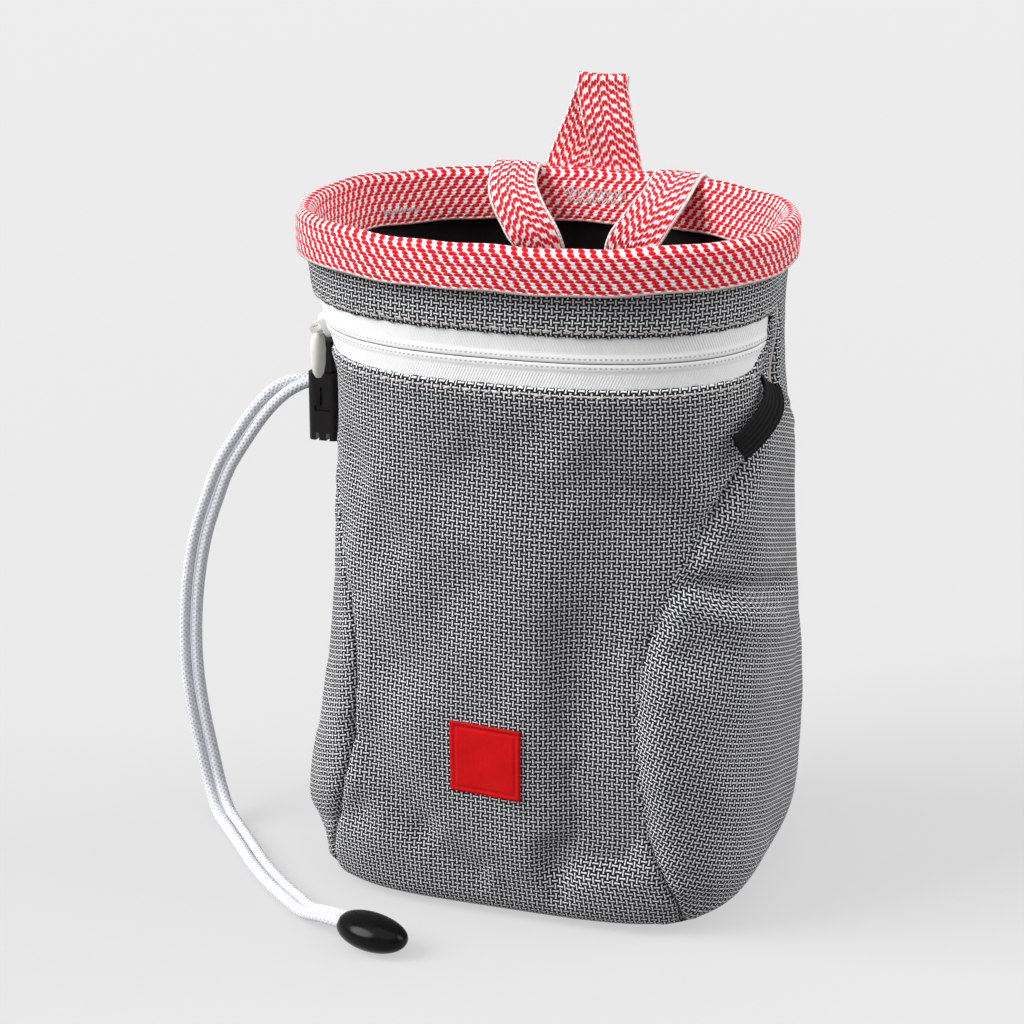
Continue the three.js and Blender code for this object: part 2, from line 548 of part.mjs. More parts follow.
// A belt loop: sewn on the outer rear wall, over the rim, and down to the inner rear wall.
function beltLoop(side) {
  const outerX = BELT_LOOP_SHIFT + (side * BELT_LOOP_SPACING) / 2;
  const innerX = (side * BELT_LOOP_INNER_SPACING) / 2;
  const seat = PIECE_GAP * 2 + TAPE_THICKNESS / 2;
  const rim = CLOTH_HEIGHT + REAR_RISE / 2 + RIM_TOP;
  const low = rim - BELT_LOOP_TAIL;
  const outer = (height) => rearPlace(outerX, height, () => seat, DENTS);
  const inner = (height) => rearPlace(innerX, height, (share) => liningOffset(share) - LINING_WALL - seat, []);
  const rimY = rearPlace(outerX, CLOTH_HEIGHT, () => -2, []).y;
  const straight = vector(1, 0, 0);
  const rows = [
    [0, outer(low).y, low, outer(low).level],
    [0, outer(low + 6).y, low + 6, outer(low + 6).level],
    [0, outer(low + 13).y + BELT_LOOP_STAND_OFF * 0.78, low + 13, outer(low + 13).level],
    [0, outer(low + 24).y + BELT_LOOP_STAND_OFF, low + 25, outer(low + 24).level],
    [0.02, rimY + RIM_OUTSIDE + BELT_LOOP_STAND_OFF * 0.78, rim - BELT_LOOP_RISE * 2, straight],
    [0.06, rimY + RIM_OUTSIDE * 1.2, rim + BELT_LOOP_RISE, straight],
    [0.2, rimY - BELT_LOOP_REACH * 0.62, rim - BELT_LOOP_RISE * 2, straight],
    [0.52, rimY - BELT_LOOP_REACH * 0.95, rim - 9, straight],
    [0.9, rimY - BELT_LOOP_REACH, rim - 18, inner(low).level],
    [1, inner(low - 2).y - 2.2, low - 2, inner(low - 2).level],
    [1, inner(low - 10).y, low - 10, inner(low - 10).level],
  ];
  const points = rows.map(([share, y, z]) => vector(THREE.MathUtils.lerp(outerX, innerX, share), y, z));
  return strap(points, rows.map((row) => row[3]), STRAP_WIDTH, TAPE_THICKNESS, 30);
}
addPiece('belt_loop_left', beltLoop(-1), 'webbing');
addPiece('belt_loop_right', beltLoop(1), 'webbing');

// The hang loop: both tails sewn on the outer rear wall over the binding, folded over at the top.
function hangLoop() {
  const seat = PIECE_GAP + TAPE_THICKNESS / 2 + RIM_OUTSIDE;
  const rim = CLOTH_HEIGHT + REAR_RISE / 2 + RIM_TOP;
  const top = rim + HANG_LOOP_RISE - TAPE_THICKNESS / 2;
  const low = rim - HANG_LOOP_TAIL;
  const wall = (x, height) => rearPlace(x, height, () => seat, []).y;
  const nearX = HANG_LEG_NEAR_X;
  const farX = HANG_LEG_FAR_X;
  const foldY = wall(0, CLOTH_HEIGHT) + HANG_LOOP_BULGE * 0.55;
  const half = TAPE_THICKNESS * 0.95;
  const points = [
    vector(nearX, wall(nearX, low), low),
    vector(nearX, wall(nearX, low + 10), low + 10),
    vector(nearX, wall(nearX, rim - 2), rim - 1),
    vector(THREE.MathUtils.lerp(nearX, HANG_TOP_X, 0.5), wall(nearX, rim - 2) + 0.5, rim + HANG_LOOP_RISE * 0.45),
    vector(HANG_TOP_X + 0.3, foldY - half * 1.2, top - 4),
    vector(HANG_TOP_X, foldY - half * 0.8, top - 0.9),
    vector(HANG_TOP_X, foldY, top),
    vector(HANG_TOP_X, foldY + half * 0.8, top - 0.9),
    vector(HANG_TOP_X - 0.6, foldY + half * 1.4, top - 4),
    vector(THREE.MathUtils.lerp(farX, HANG_TOP_X, 0.5), wall(0, rim - 2) + HANG_LOOP_BULGE, rim + HANG_LOOP_RISE * 0.42),
    vector(farX, wall(farX, rim - 2) + HANG_LOOP_BULGE * 0.9, rim - 2),
    vector(farX, wall(farX, low + 8) + 0.8, low + 8),
    vector(farX, wall(farX, low), low),
  ];
  return strap(points, points.map(() => vector(1, 0, 0)), STRAP_WIDTH, TAPE_THICKNESS, 36);
}
addPiece('hang_loop', hangLoop(), 'webbing');

// The drawcord: two strands side by side, each a round cord along its own smooth line.
const cordMiddle = CORD_ROUTE.map((row) => vector(row.out * HALF_WIDTH, row.front * HALF_DEPTH,
  THREE.MathUtils.lerp(CORD_LYING, CORD_EXIT_HEIGHT, row.lift)));

function cordRoute(side) {
  return CORD_ROUTE.map((row, k) => {
    const at = cordMiddle[k].clone();
    const tangent = cordMiddle[Math.min(CORD_ROUTE.length - 1, k + 1)].clone().sub(cordMiddle[Math.max(0, k - 1)])
      .normalize();
    const level = Math.cos(radians(row.rise));
    const across = vector(Math.cos(radians(row.turn)) * level, Math.sin(radians(row.turn)) * level,
      Math.sin(radians(row.rise)));
    across.addScaledVector(tangent, -across.dot(tangent)).normalize();
    return at.addScaledVector(across, (side * CORD_SPACING) / 2);
  });
}

const cordSection = new THREE.Shape(spread(0, TURN, 8).slice(0, -1)
  .map((turn) => new THREE.Vector2((CORD_DIAMETER / 2) * Math.cos(turn), (CORD_DIAMETER / 2) * Math.sin(turn))));

function cordTube(side) {
  const path = new THREE.CatmullRomCurve3(cordRoute(side), false, 'centripetal');
  return new THREE.ExtrudeGeometry(cordSection, { steps: 26, bevelEnabled: false, extrudePath: path });
}
addPiece('drawcord_front', cordTube(-1), 'cord');
addPiece('drawcord_back', cordTube(1), 'cord');

// The cord lock: a flat barrel with a toothed foot, and the button that slides in it. The cords pass through both.
function roundedBar(sizeX, sizeY, corner, bottom, top) {
  const x = sizeX / 2;
  const y = sizeY / 2;
  const outline = new THREE.Shape();
  outline.moveTo(-x + corner, -y).lineTo(x - corner, -y).absarc(x - corner, -y + corner, corner, -Math.PI / 2, 0)
    .absarc(x - corner, y - corner, corner, 0, Math.PI / 2).absarc(-x + corner, y - corner, corner, Math.PI / 2, Math.PI)
    .absarc(-x + corner, -y + corner, corner, Math.PI, Math.PI * 1.5);
  return new THREE.ExtrudeGeometry(outline, { depth: top - bottom, bevelEnabled: false, curveSegments: 4 })
    .translate(LOCK_CENTRE_X, CORD_CENTRE_Y, bottom);
}

const CORD_SLOT_Y = CORD_SPACING + CORD_DIAMETER + 2 * PIECE_GAP;
const CORD_SLOT_Z = CORD_DIAMETER + 2 * PIECE_GAP;
const cordSlot = (extra) => box(LOCK_SIZE_X * 2, CORD_SLOT_Y, CORD_SLOT_Z + extra, LOCK_CENTRE_X, CORD_CENTRE_Y,
  CORD_EXIT_HEIGHT + extra / 2);

function lockBarrel() {
  const cavityX = LOCK_SIZE_X - 2 * LOCK_WALL;
  const cavityY = LOCK_SIZE_Y - 2 * LOCK_WALL;
  const cavityFloor = LOCK_BARREL_BOTTOM + 3;
  let body = solid(roundedBar(LOCK_SIZE_X, LOCK_SIZE_Y, LOCK_CORNER, LOCK_BARREL_BOTTOM, LOCK_BARREL_TOP));
  body = body.subtract(solid(roundedBar(cavityX, cavityY, LOCK_CORNER / 2, cavityFloor, LOCK_BARREL_TOP + 1)));
  body = body.subtract(solid(cordSlot(0)));
  for (const side of [-1, 1]) {
    body = body.subtract(solid(box(0.9, LOCK_SIZE_Y * 2, 4, LOCK_CENTRE_X + side * 1.45, CORD_CENTRE_Y,
      LOCK_BARREL_BOTTOM)));
  }
  const front = CORD_CENTRE_Y - LOCK_SIZE_Y / 2;
  const window = solid(box(0.9, LOCK_WALL, 5.4, LOCK_CENTRE_X, front, LOCK_BARREL_BOTTOM + 11.6))
    .add(solid(box(4.2, LOCK_WALL, 1.4, LOCK_CENTRE_X, front, LOCK_BARREL_BOTTOM + 8.6)));
  return geometryOf(body.subtract(window));
}
addPiece('cord_lock_barrel', lockBarrel(), 'lock');

function lockButton() {
  const bottom = LOCK_BARREL_BOTTOM + 3 + LOCK_TRAVEL + 2 * PIECE_GAP;
  const sizeX = LOCK_SIZE_X - 2 * LOCK_WALL - 2 * PIECE_GAP;
  const sizeY = LOCK_SIZE_Y - 2 * LOCK_WALL - 2 * PIECE_GAP;
  const shaft = solid(roundedBar(sizeX, sizeY, LOCK_CORNER / 2, bottom, LOCK_BUTTON_TOP));
  return geometryOf(shaft.subtract(solid(cordSlot(LOCK_TRAVEL))));
}
addPiece('cord_lock_button', lockButton(), 'lock');

// The end piece: a smooth bean on the floor, bored for the two strands.
function endBean() {
  const last = cordMiddle[cordMiddle.length - 1];
  const before = cordMiddle[cordMiddle.length - 2];
  const heading = Math.atan2(last.y - before.y, last.x - before.x);
  const centreX = last.x + Math.cos(heading) * (END_LENGTH / 2 - 3.2);
  const centreY = last.y + Math.sin(heading) * (END_LENGTH / 2 - 3.2);
  const bean = new THREE.SphereGeometry(0.5, 16, 10).scale(END_LENGTH, END_WIDTH, END_HEIGHT);
  const places = bean.attributes.position;
  for (let k = 0; k < places.count; k += 1) {
    places.setZ(k, Math.max(places.getZ(k), -END_HEIGHT * 0.46));
  }
  let body = solid(bean.rotateZ(heading).translate(centreX, centreY, END_HEIGHT * 0.46));
  const boreRadius = CORD_DIAMETER / 2 + 2 * PIECE_GAP;
  for (const side of [-1, 1]) {
    const tip = cordRoute(side)[cordMiddle.length - 1];
    const bore = new THREE.CylinderGeometry(boreRadius, boreRadius, 16, 8)
      .rotateZ(Math.PI / 2).translate(-8 + PIECE_GAP, 0, 0).rotateZ(heading).translate(tip.x, tip.y, tip.z);
    body = body.subtract(solid(bore));
  }
  return geometryOf(body);
}
addPiece('cord_end', endBean(), 'cord_end');

export default bag;
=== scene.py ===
import math

import bmesh
import bpy
import numpy as np
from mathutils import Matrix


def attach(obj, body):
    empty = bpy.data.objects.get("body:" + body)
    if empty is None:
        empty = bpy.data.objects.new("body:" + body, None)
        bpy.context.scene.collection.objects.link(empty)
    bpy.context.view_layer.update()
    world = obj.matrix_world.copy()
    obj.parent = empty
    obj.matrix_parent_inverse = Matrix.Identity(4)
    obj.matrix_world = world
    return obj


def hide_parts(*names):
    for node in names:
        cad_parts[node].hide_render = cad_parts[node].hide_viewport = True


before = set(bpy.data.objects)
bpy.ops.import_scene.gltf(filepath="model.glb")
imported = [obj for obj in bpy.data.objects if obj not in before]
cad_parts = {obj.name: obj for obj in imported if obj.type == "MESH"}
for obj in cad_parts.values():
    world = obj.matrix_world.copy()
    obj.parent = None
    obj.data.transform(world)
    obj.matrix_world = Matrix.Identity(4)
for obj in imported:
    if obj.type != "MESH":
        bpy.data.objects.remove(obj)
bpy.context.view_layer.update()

# The camera looks slightly down on the front, from a little to the right of it, as the photograph does.
camera = bpy.data.objects.new("camera", bpy.data.cameras.new("camera"))
bpy.context.scene.collection.objects.link(camera)
camera.location = (0.2008, -0.6077, 0.298)
camera.rotation_euler = (math.radians(72.3), 0, math.radians(19))
camera.data.lens = 92.46
camera.data.sensor_width = 36
camera.data.clip_start = 0.01
bpy.context.scene.camera = camera


# The drawcord: two soft white braided strands, 3 mm thick, that come out of the left gusset through the
# cord lock, hang down in a bow and end in one smooth bean on the floor.
class Flow:
    """One value in a finish. The operators + - * / and the methods each add a Math node to it."""

    def __init__(self, finish, socket):
        self.finish = finish
        self.socket = socket

    def maths(self, operation, *others):
        sockets = dict(enumerate([self, *others]))
        return self.finish.node("ShaderNodeMath", {"operation": operation}, sockets)

    def __add__(self, other):
        return self.maths("ADD", other)

    def __sub__(self, other):
        return self.maths("SUBTRACT", other)

    def __mul__(self, other):
        return self.maths("MULTIPLY", other)

    def __truediv__(self, other):
        return self.maths("DIVIDE", other)

    def __rsub__(self, other):
        return self.finish.node("ShaderNodeMath", {"operation": "SUBTRACT"}, {0: other, 1: self})

    def whole(self):
        return self.maths("FLOOR")

    def rest(self):
        return self.maths("FRACT")

    def size(self):
        return self.maths("ABSOLUTE")

    def wave(self):
        return self.maths("SINE")

    def least(self, other):
        return self.maths("MINIMUM", other)

    def most(self, other):
        return self.maths("MAXIMUM", other)

    def rise(self, low, high):
        """0 at low and 1 at high, with a soft step between them. low may be the larger of the two."""
        step = {"interpolation_type": "SMOOTHSTEP"}
        return self.finish.node("ShaderNodeMapRange", step, {0: self, 1: low, 2: high})


class Finish:
    """A material and its Principled shader. node() adds any node, and the other methods the usual
    ones."""

    def __init__(self, name, **sockets):
        self.material = bpy.data.materials.new(name)
        self.material.use_nodes = True
        self.tree = self.material.node_tree
        self.shader = self.tree.nodes["Principled BSDF"]
        for socket, value in sockets.items():
            self.set(socket.replace("_", " ").title().replace("Ior", "IOR"), value)

    def node(self, kind, settings=None, inputs=None, output=0):
        made = self.tree.nodes.new(kind)
        for name, value in (settings or {}).items():
            setattr(made, name, value)
        for key, value in (inputs or {}).items():
            self.join(made.inputs[key], value)
        return Flow(self, made.outputs[output])

    def join(self, socket, value):
        if isinstance(value, Flow):
            self.tree.links.new(value.socket, socket)
        else:
            socket.default_value = value

    def set(self, socket, value):
        self.join(self.shader.inputs[socket], value)

    def apart(self, vector):
        return [self.node("ShaderNodeSeparateXYZ", {}, {0: vector}, k) for k in range(3)]

    def uv(self):
        return self.node("ShaderNodeTexCoord", output="UV")

    def place(self):
        return self.node("ShaderNodeTexCoord", output="Object")

    def noise(self, vector, scale, detail=2.0):
        return self.node("ShaderNodeTexNoise", {}, {"Vector": vector, "Scale": scale, "Detail": detail})

    def blend(self, share, first, second):
        return self.node("ShaderNodeMix", {"data_type": "RGBA"}, {0: share, 6: first, 7: second}, 2)

    def colour(self, share, first, second):
        self.set("Base Color", self.blend(share, first, second))

    def relief(self, height, depth, strength=1.0):
        """Bump of a height from 0 to 1 that stands depth millimetres proud."""
        sockets = {"Strength": strength, "Distance": depth / 1000, "Height": height}
        self.set("Normal", self.node("ShaderNodeBump", {}, sockets))


def tone(red, green, blue):
    """Colour of a finish, from its linear parts."""
    return (red, green, blue, 1.0)


def grained(name, scale, first, second, depth, strength, detail=2.0, **sockets):
    """A plain finish and its grain: one fine noise shades it between two colours and stands depth mm proud."""
    finish = Finish(name, **sockets)
    grain = finish.noise(finish.place(), scale, detail)
    finish.colour(grain, first, second)
    finish.relief(grain, depth, strength)
    return finish, grain


def make_piece(name, grids, finish, weld=1e-6, thickness=0):
    """Mesh over one or more grids of points (rows, columns, 3) in millimetres with their flat places
    (rows, columns, 2), each four neighbours one face. Points that meet are welded, and a thickness is
    given behind the faces."""
    corners, flats, faces, start = [], [], [], 0
    for points, flat in grids:
        rows, columns = points.shape[:2]
        index = start + np.arange(rows * columns).reshape(rows, columns)
        quads = np.stack([index[:-1, :-1], index[:-1, 1:], index[1:, 1:], index[1:, :-1]], -1)
        corners.append(points.reshape(-1, 3))
        flats.append(flat.reshape(-1, 2))
        faces.append(quads.reshape(-1, 4))
        start += rows * columns
    corners = np.concatenate(corners) / 1000
    flats = np.concatenate(flats)
    faces = np.concatenate(faces)
    mesh = bpy.data.meshes.new(name)
    mesh.vertices.add(len(corners))
    mesh.vertices.foreach_set("co", corners.astype(np.float32).ravel())
    mesh.loops.add(faces.size)
    mesh.loops.foreach_set("vertex_index", faces.astype(np.int32).ravel())
    mesh.polygons.add(len(faces))
    mesh.polygons.foreach_set("loop_start", np.arange(0, faces.size, 4, dtype=np.int32))
    mesh.update(calc_edges=True)
    layer = mesh.uv_layers.new(name="flat")
    layer.data.foreach_set("uv", flats[faces.ravel()].astype(np.float32).ravel())
    mesh.polygons.foreach_set("use_smooth", np.ones(len(faces), dtype=bool))
    if weld:
        weld_mesh(mesh, weld)
    mesh.validate()
    piece = bpy.data.objects.new(name, mesh)
    bpy.context.scene.collection.objects.link(piece)
    if thickness:
        wall = piece.modifiers.new("thickness", "SOLIDIFY")
        wall.thickness = thickness / 1000
        wall.offset = -1
    mesh.materials.append(finish.material)
    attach(piece, "root")
    return piece


def weld_mesh(mesh, distance):
    """Merges the points of a mesh that lie closer than a distance in metres, and drops faces that this
    flattens."""
    work = bmesh.new()
    work.from_mesh(mesh)
    bmesh.ops.remove_doubles(work, verts=work.verts, dist=distance)
    work.to_mesh(mesh)
    work.free()


def soft_step(value):
    """0 below 0, 1 above 1, and 3 v^2 - 2 v^3 between."""
    value = np.clip(value, 0, 1)
    return value * value * (3 - 2 * value)


def read_rows(rows, column, at):
    """Reads a column at values of the first column, on a cubic curve whose slope at a row is that between
    its neighbours."""
    x, y = rows[:, 0], rows[:, column]
    slope = np.empty_like(y)
    slope[1:-1] = (y[2:] - y[:-2]) / (x[2:] - x[:-2])
    slope[0] = (y[1] - y[0]) / (x[1] - x[0])
    slope[-1] = (y[-1] - y[-2]) / (x[-1] - x[-2])
    k = np.clip(np.searchsorted(x, at, side="right") - 1, 0, len(x) - 2)
    span = x[k + 1] - x[k]
    t = np.clip((at - x[k]) / span, 0, 1)
    h = soft_step(t)
    return y[k] * (1 - h) + y[k + 1] * h + span * t * (1 - t) * ((1 - t) * slope[k] - t * slope[k + 1])


def unit(vectors):
    """The same directions, one long."""
    return vectors / np.maximum(np.linalg.norm(vectors, axis=-1, keepdims=True), 1e-9)


def smooth_path(points, step, extra=None):
    """Points about one step apart on a smooth curve through the given ones, whose parameter grows by the
    square root of each chord. Columns of extra values are read at the same places."""
    points = np.asarray(points, float)
    grow = np.concatenate([[0], np.cumsum(np.sqrt(np.linalg.norm(np.diff(points, axis=0), axis=1)))])
    table = np.column_stack([grow, points] + ([] if extra is None else [extra]))
    fine = np.linspace(0, grow[-1], 60 * len(points))
    dense = np.column_stack([read_rows(table, column, fine) for column in range(1, 4)])
    run = np.concatenate([[0], np.cumsum(np.linalg.norm(np.diff(dense, axis=0), axis=1))])
    at = np.interp(np.linspace(0, run[-1], int(run[-1] / step) + 2), run, fine)
    return np.column_stack([read_rows(table, column, at) for column in range(1, table.shape[1])])


def carried(path, across, out, section, flat_across):
    """Profile carried along a path: path + across times its first place + out times its second one,
    closed at both ends by rings drawn together. Its flat places are the length along the path, and
    flat_across around the profile."""
    points = path[:, None] + across[:, None] * section[None, :, :1] + out[:, None] * section[None, :, 1:]
    along = np.concatenate([[0], np.cumsum(np.linalg.norm(np.diff(path, axis=0), axis=1))])
    flat = np.stack(np.broadcast_arrays(along[:, None], flat_across[None]), -1)
    ends = [np.broadcast_to(points[k].mean(0), points[k].shape)[None] for k in (0, -1)]
    return np.concatenate([ends[0], points, ends[1]]), np.concatenate([flat[:1], flat, flat[-1:]])


CORD_DIAMETER = 3
CORD_SPACING = 3.2
CORD_ROUTE = np.array([
    [-48.2, 6.0, 121.5, 90, 0], [-52.5, 6.0, 121.5, 90, 0], [-57.0, 6.0, 121.5, 90, 0],
    [-61.5, 6.0, 121.5, 90, 0], [-66.0, 5.8, 121.5, 92, 3], [-70.5, 4.4, 120.4, 110, 30],
    [-74.6, 2.6, 117.9, 150, 48], [-78.6, 0.6, 113.4, 180, 42], [-83.0, -1.8, 106.6, 192, 32],
    [-87.6, -3.8, 98.4, 197, 24], [-90.8, -5.1, 89.6, 199, 18], [-93.6, -6.4, 80.4, 199, 11],
    [-95.6, -7.4, 69.4, 199, 5], [-96.7, -8.0, 58.2, 199, 0], [-96.9, -8.4, 47.4, 199, -4],
    [-96.3, -8.5, 37.6, 199, -8], [-94.9, -8.5, 27.6, 200, -12], [-93.0, -8.6, 18.0, 202, -14],
    [-90.8, -9.4, 9.4, 205, -14], [-87.0, -12.6, 3.4, 210, -8], [-81.2, -18.4, 1.7, 214, 0],
    [-74.2, -26.6, 1.6, 217, 0], [-66.4, -36.0, 1.6, 222, 0], [-58.2, -44.6, 1.6, 228, 0],
    [-50.0, -52.0, 1.6, 232, 0], [-42.6, -58.4, 2.1, 238, 0], [-35.4, -62.7, 4.0, 244, 0],
    [-28.2, -65.4, 4.5, 248, 0],
])


def cord_line(side):
    """Centre line of a strand: the middle line moved half the spacing along its row's direction
    across."""
    middle, turn, lift = CORD_ROUTE[:, :3], np.radians(CORD_ROUTE[:, 3]), np.radians(CORD_ROUTE[:, 4])
    tangent = unit(np.gradient(middle, axis=0))
    across = np.column_stack([np.cos(turn) * np.cos(lift), np.sin(turn) * np.cos(lift), np.sin(lift)])
    across = unit(across - tangent * (across * tangent).sum(1, keepdims=True))
    return smooth_path(middle + across * side * CORD_SPACING / 2, 0.7)


def braided_cord():
    """White braid: two families of slanting yarns, one rising to the right and one to the left, cross
    over and under each other, each yarn a soft ridge."""
    cord = Finish("braided white cord", roughness=0.62, sheen_weight=0.25)
    along, around, _ = cord.apart(cord.uv())
    turns = around / (math.pi * CORD_DIAMETER) * 6
    climb = along / 2.6 * 2
    one = ((turns + climb) * math.pi).wave().size()
    other = ((turns - climb) * math.pi).wave().size()
    ridge = one.most(other)
    soft = cord.noise(cord.uv(), 0.6)
    # Painted shade: the colour goes darker grey-blue in the grooves between the yarns and lighter on their crests,
    # with a little random tone from the noise.
    shade = (ridge * 0.7 + soft * 0.3).rise(0.45, 0.95)
    cord.colour(shade, tone(0.48, 0.50, 0.58), tone(0.86, 0.87, 0.91))
    cord.relief(ridge, 0.14, 0.9)
    return cord


cord_finish = braided_cord()
strands = {}
for node, side in (("drawcord_front", -1), ("drawcord_back", 1)):
    line = cord_line(side)
    tangent = unit(np.gradient(line, axis=0))
    level = unit(np.cross(tangent, [0.25, 0.9, 0.35]))
    turn = np.linspace(0, 2 * math.pi, 21)
    ring = np.column_stack([np.cos(turn), np.sin(turn)]) * CORD_DIAMETER / 2
    grid = carried(line, level, np.cross(level, tangent), ring, turn * CORD_DIAMETER / 2)
    strand = make_piece(node.replace("drawcord", "white_strand"), [grid], cord_finish)
    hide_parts(node)
    strands[node] = (strand, line)

# The bean that joins the strands: a smooth glossy drop of hard rubber that lies on the floor.
END_LENGTH, END_WIDTH, END_HEIGHT = 20.5, 12.0, 8.7
cord_end, before_end = CORD_ROUTE[-1, :2], CORD_ROUTE[-2, :2]
heading = math.atan2(cord_end[1] - before_end[1], cord_end[0] - before_end[0])
end_centre = np.array([cord_end[0] + math.cos(heading) * 7.05, cord_end[1] + math.sin(heading) * 7.05,
                       END_HEIGHT * 0.46])


def bean_skin():
    """Egg shape: (cos u, sin u cos v, sin u sin v) on its three half sizes, flattened where it lies on
    the floor."""
    u, v = np.meshgrid(np.linspace(0, math.pi, 65), np.linspace(0, 2 * math.pi, 73), indexing="ij")
    girth = np.sin(u) ** 0.86
    x = np.cos(u) * END_LENGTH / 2
    y = girth * np.cos(v) * END_WIDTH / 2 + 0.5 * np.cos(u) ** 2
    z = girth * np.sin(v) * END_HEIGHT / 2
    z = np.where(z < 0, np.maximum(z, -END_HEIGHT * 0.46), z)
    level_x = x * math.cos(heading) - y * math.sin(heading)
    level_y = x * math.sin(heading) + y * math.cos(heading)
    points = np.stack([level_x, level_y, z], -1) + end_centre
    return points[:, ::-1], np.stack([u * 6, v * 6], -1)


bean_finish, bean_grain = grained("glossy black bean", 260.0, tone(0.0015, 0.0015, 0.002),
                                  tone(0.006, 0.006, 0.006), 0.02, 0.3, specular_ior_level=0.12)
bean_finish.set("Roughness", bean_grain * 0.14 + 0.14)
bean = make_piece("cord_bean", [bean_skin()], bean_finish)
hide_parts("cord_end")
for strand, line in strands.values():
    path = [list(point / 1000) for point in [*line[::4], line[-1]]]

# The cloth: one long panel goes down the front, under the base and up the rear, and a teardrop gusset
# closes each side. It is a basket weave of pale yarn over black. Every seam turns the cloth's edges
# inwards.
CLOTH_HEIGHT, HALF_WIDTH, HALF_DEPTH, REAR_RISE = 171.2, 62.0, 46.0, 2.0
SEAM_FOOT = 2.4
SEAM_TIP = 131.0
SECTIONS = np.array([
    [0.000, 0.73, 0.81, 0.78, 0.80, 3.8], [0.015, 0.78, 0.89, 0.90, 0.92, 4.3],
    [0.052, 0.83, 0.98, 0.95, 0.98, 4.2], [0.122, 0.89, 1.02, 1.00, 1.01, 4.0],
    [0.262, 0.84, 1.035, 1.02, 1.02, 3.8], [0.380, 0.79, 1.035, 1.02, 1.01, 3.5],
    [0.526, 0.78, 1.00, 1.01, 1.00, 3.1], [0.678, 0.79, 0.99, 1.00, 0.99, 2.8],
    [0.794, 0.81, 0.96, 1.00, 0.99, 2.6], [0.864, 0.89, 0.96, 0.99, 0.99, 2.45],
    [0.935, 0.95, 0.97, 0.99, 0.99, 2.35], [1.000, 0.97, 0.985, 1.00, 1.00, 2.25],
])
DENTS = [
    (-60, 0.40, 0.050, 13, 0.20), (-122, 0.36, 0.038, 13, 0.18), (-6, 0.79, 0.035, 9, 0.07),
    (-104, 0.66, 0.030, 24, 0.12), (-75, 0.74, 0.022, 14, 0.05), (92, 0.50, 0.055, 26, 0.22),
    (196, 0.56, -0.030, 12, 0.07), (150, 0.72, 0.045, 14, 0.12), (35, 0.70, 0.040, 14, 0.14),
]
GUSSET = np.array([
    [0.00, 36, 36], [0.05, 39, 39], [0.12, 43.5, 43], [0.20, 47, 46], [0.32, 49.8, 48], [0.44, 50, 48],
    [0.56, 47.8, 46], [0.67, 42, 41], [0.78, 33.5, 33], [0.86, 25, 25], [0.93, 15, 15], [1.00, 0, 0],
])


def hump(distance):
    """Soft hump: the square of a cosine, 1 in the middle and 0 from one reach on."""
    return np.where(np.abs(distance) < 1, np.cos(np.clip(distance, -1, 1) * math.pi / 2) ** 2, 0)


def cup_point(angle, share, dents=DENTS):
    """The cup's outer face: radius (|cos a / reach x| ^ n + |sin a / reach y| ^ n) ^ (-1 / n) with the
    reaches and n of the share of the height, less its dents."""
    angle, share = np.broadcast_arrays(np.asarray(angle, float), np.asarray(share, float))
    cosine, sine = np.cos(np.radians(angle)), np.sin(np.radians(angle))
    left, right, fore, aft, square = [read_rows(SECTIONS, column, share) for column in range(1, 6)]
    reach_x = HALF_WIDTH * np.where(cosine < 0, left, right)
    reach_y = HALF_DEPTH * np.where(sine < 0, fore, aft)
    radius = (np.abs(cosine / reach_x) ** square + np.abs(sine / reach_y) ** square) ** (-1 / square)
    for turn, height, depth, wide, high in dents:
        sideways = hump(((angle - turn + 540) % 360 - 180) / wide)
        radius = radius - HALF_DEPTH * depth * sideways * hump((share - height) / high)
    return np.stack([radius * cosine, radius * sine, share * (CLOTH_HEIGHT + REAR_RISE / 2 * sine)], -1)


def cup_out(angle, share, dents=DENTS):
    """Outward direction of that face, across its slopes around and up."""
    around = cup_point(angle + 1.5, share, dents) - cup_point(angle - 1.5, share, dents)
    above = cup_point(angle, np.minimum(share + 0.008, 1), dents)
    below = cup_point(angle, np.maximum(share - 0.008, 0), dents)
    return unit(np.cross(around, above - below))


def share_at(height, angle):
    """Share of the cup's height at a height in millimetres."""
    return height / (CLOTH_HEIGHT + REAR_RISE / 2 * np.sin(np.radians(angle)))


def on_cup(angle, height, offset, dents=DENTS):
    """Point at an angle and a height, moved an offset out of the face."""
    share = share_at(height, angle)
    return cup_point(angle, share, dents) + cup_out(angle, share, dents) * np.asarray(offset)[..., None]


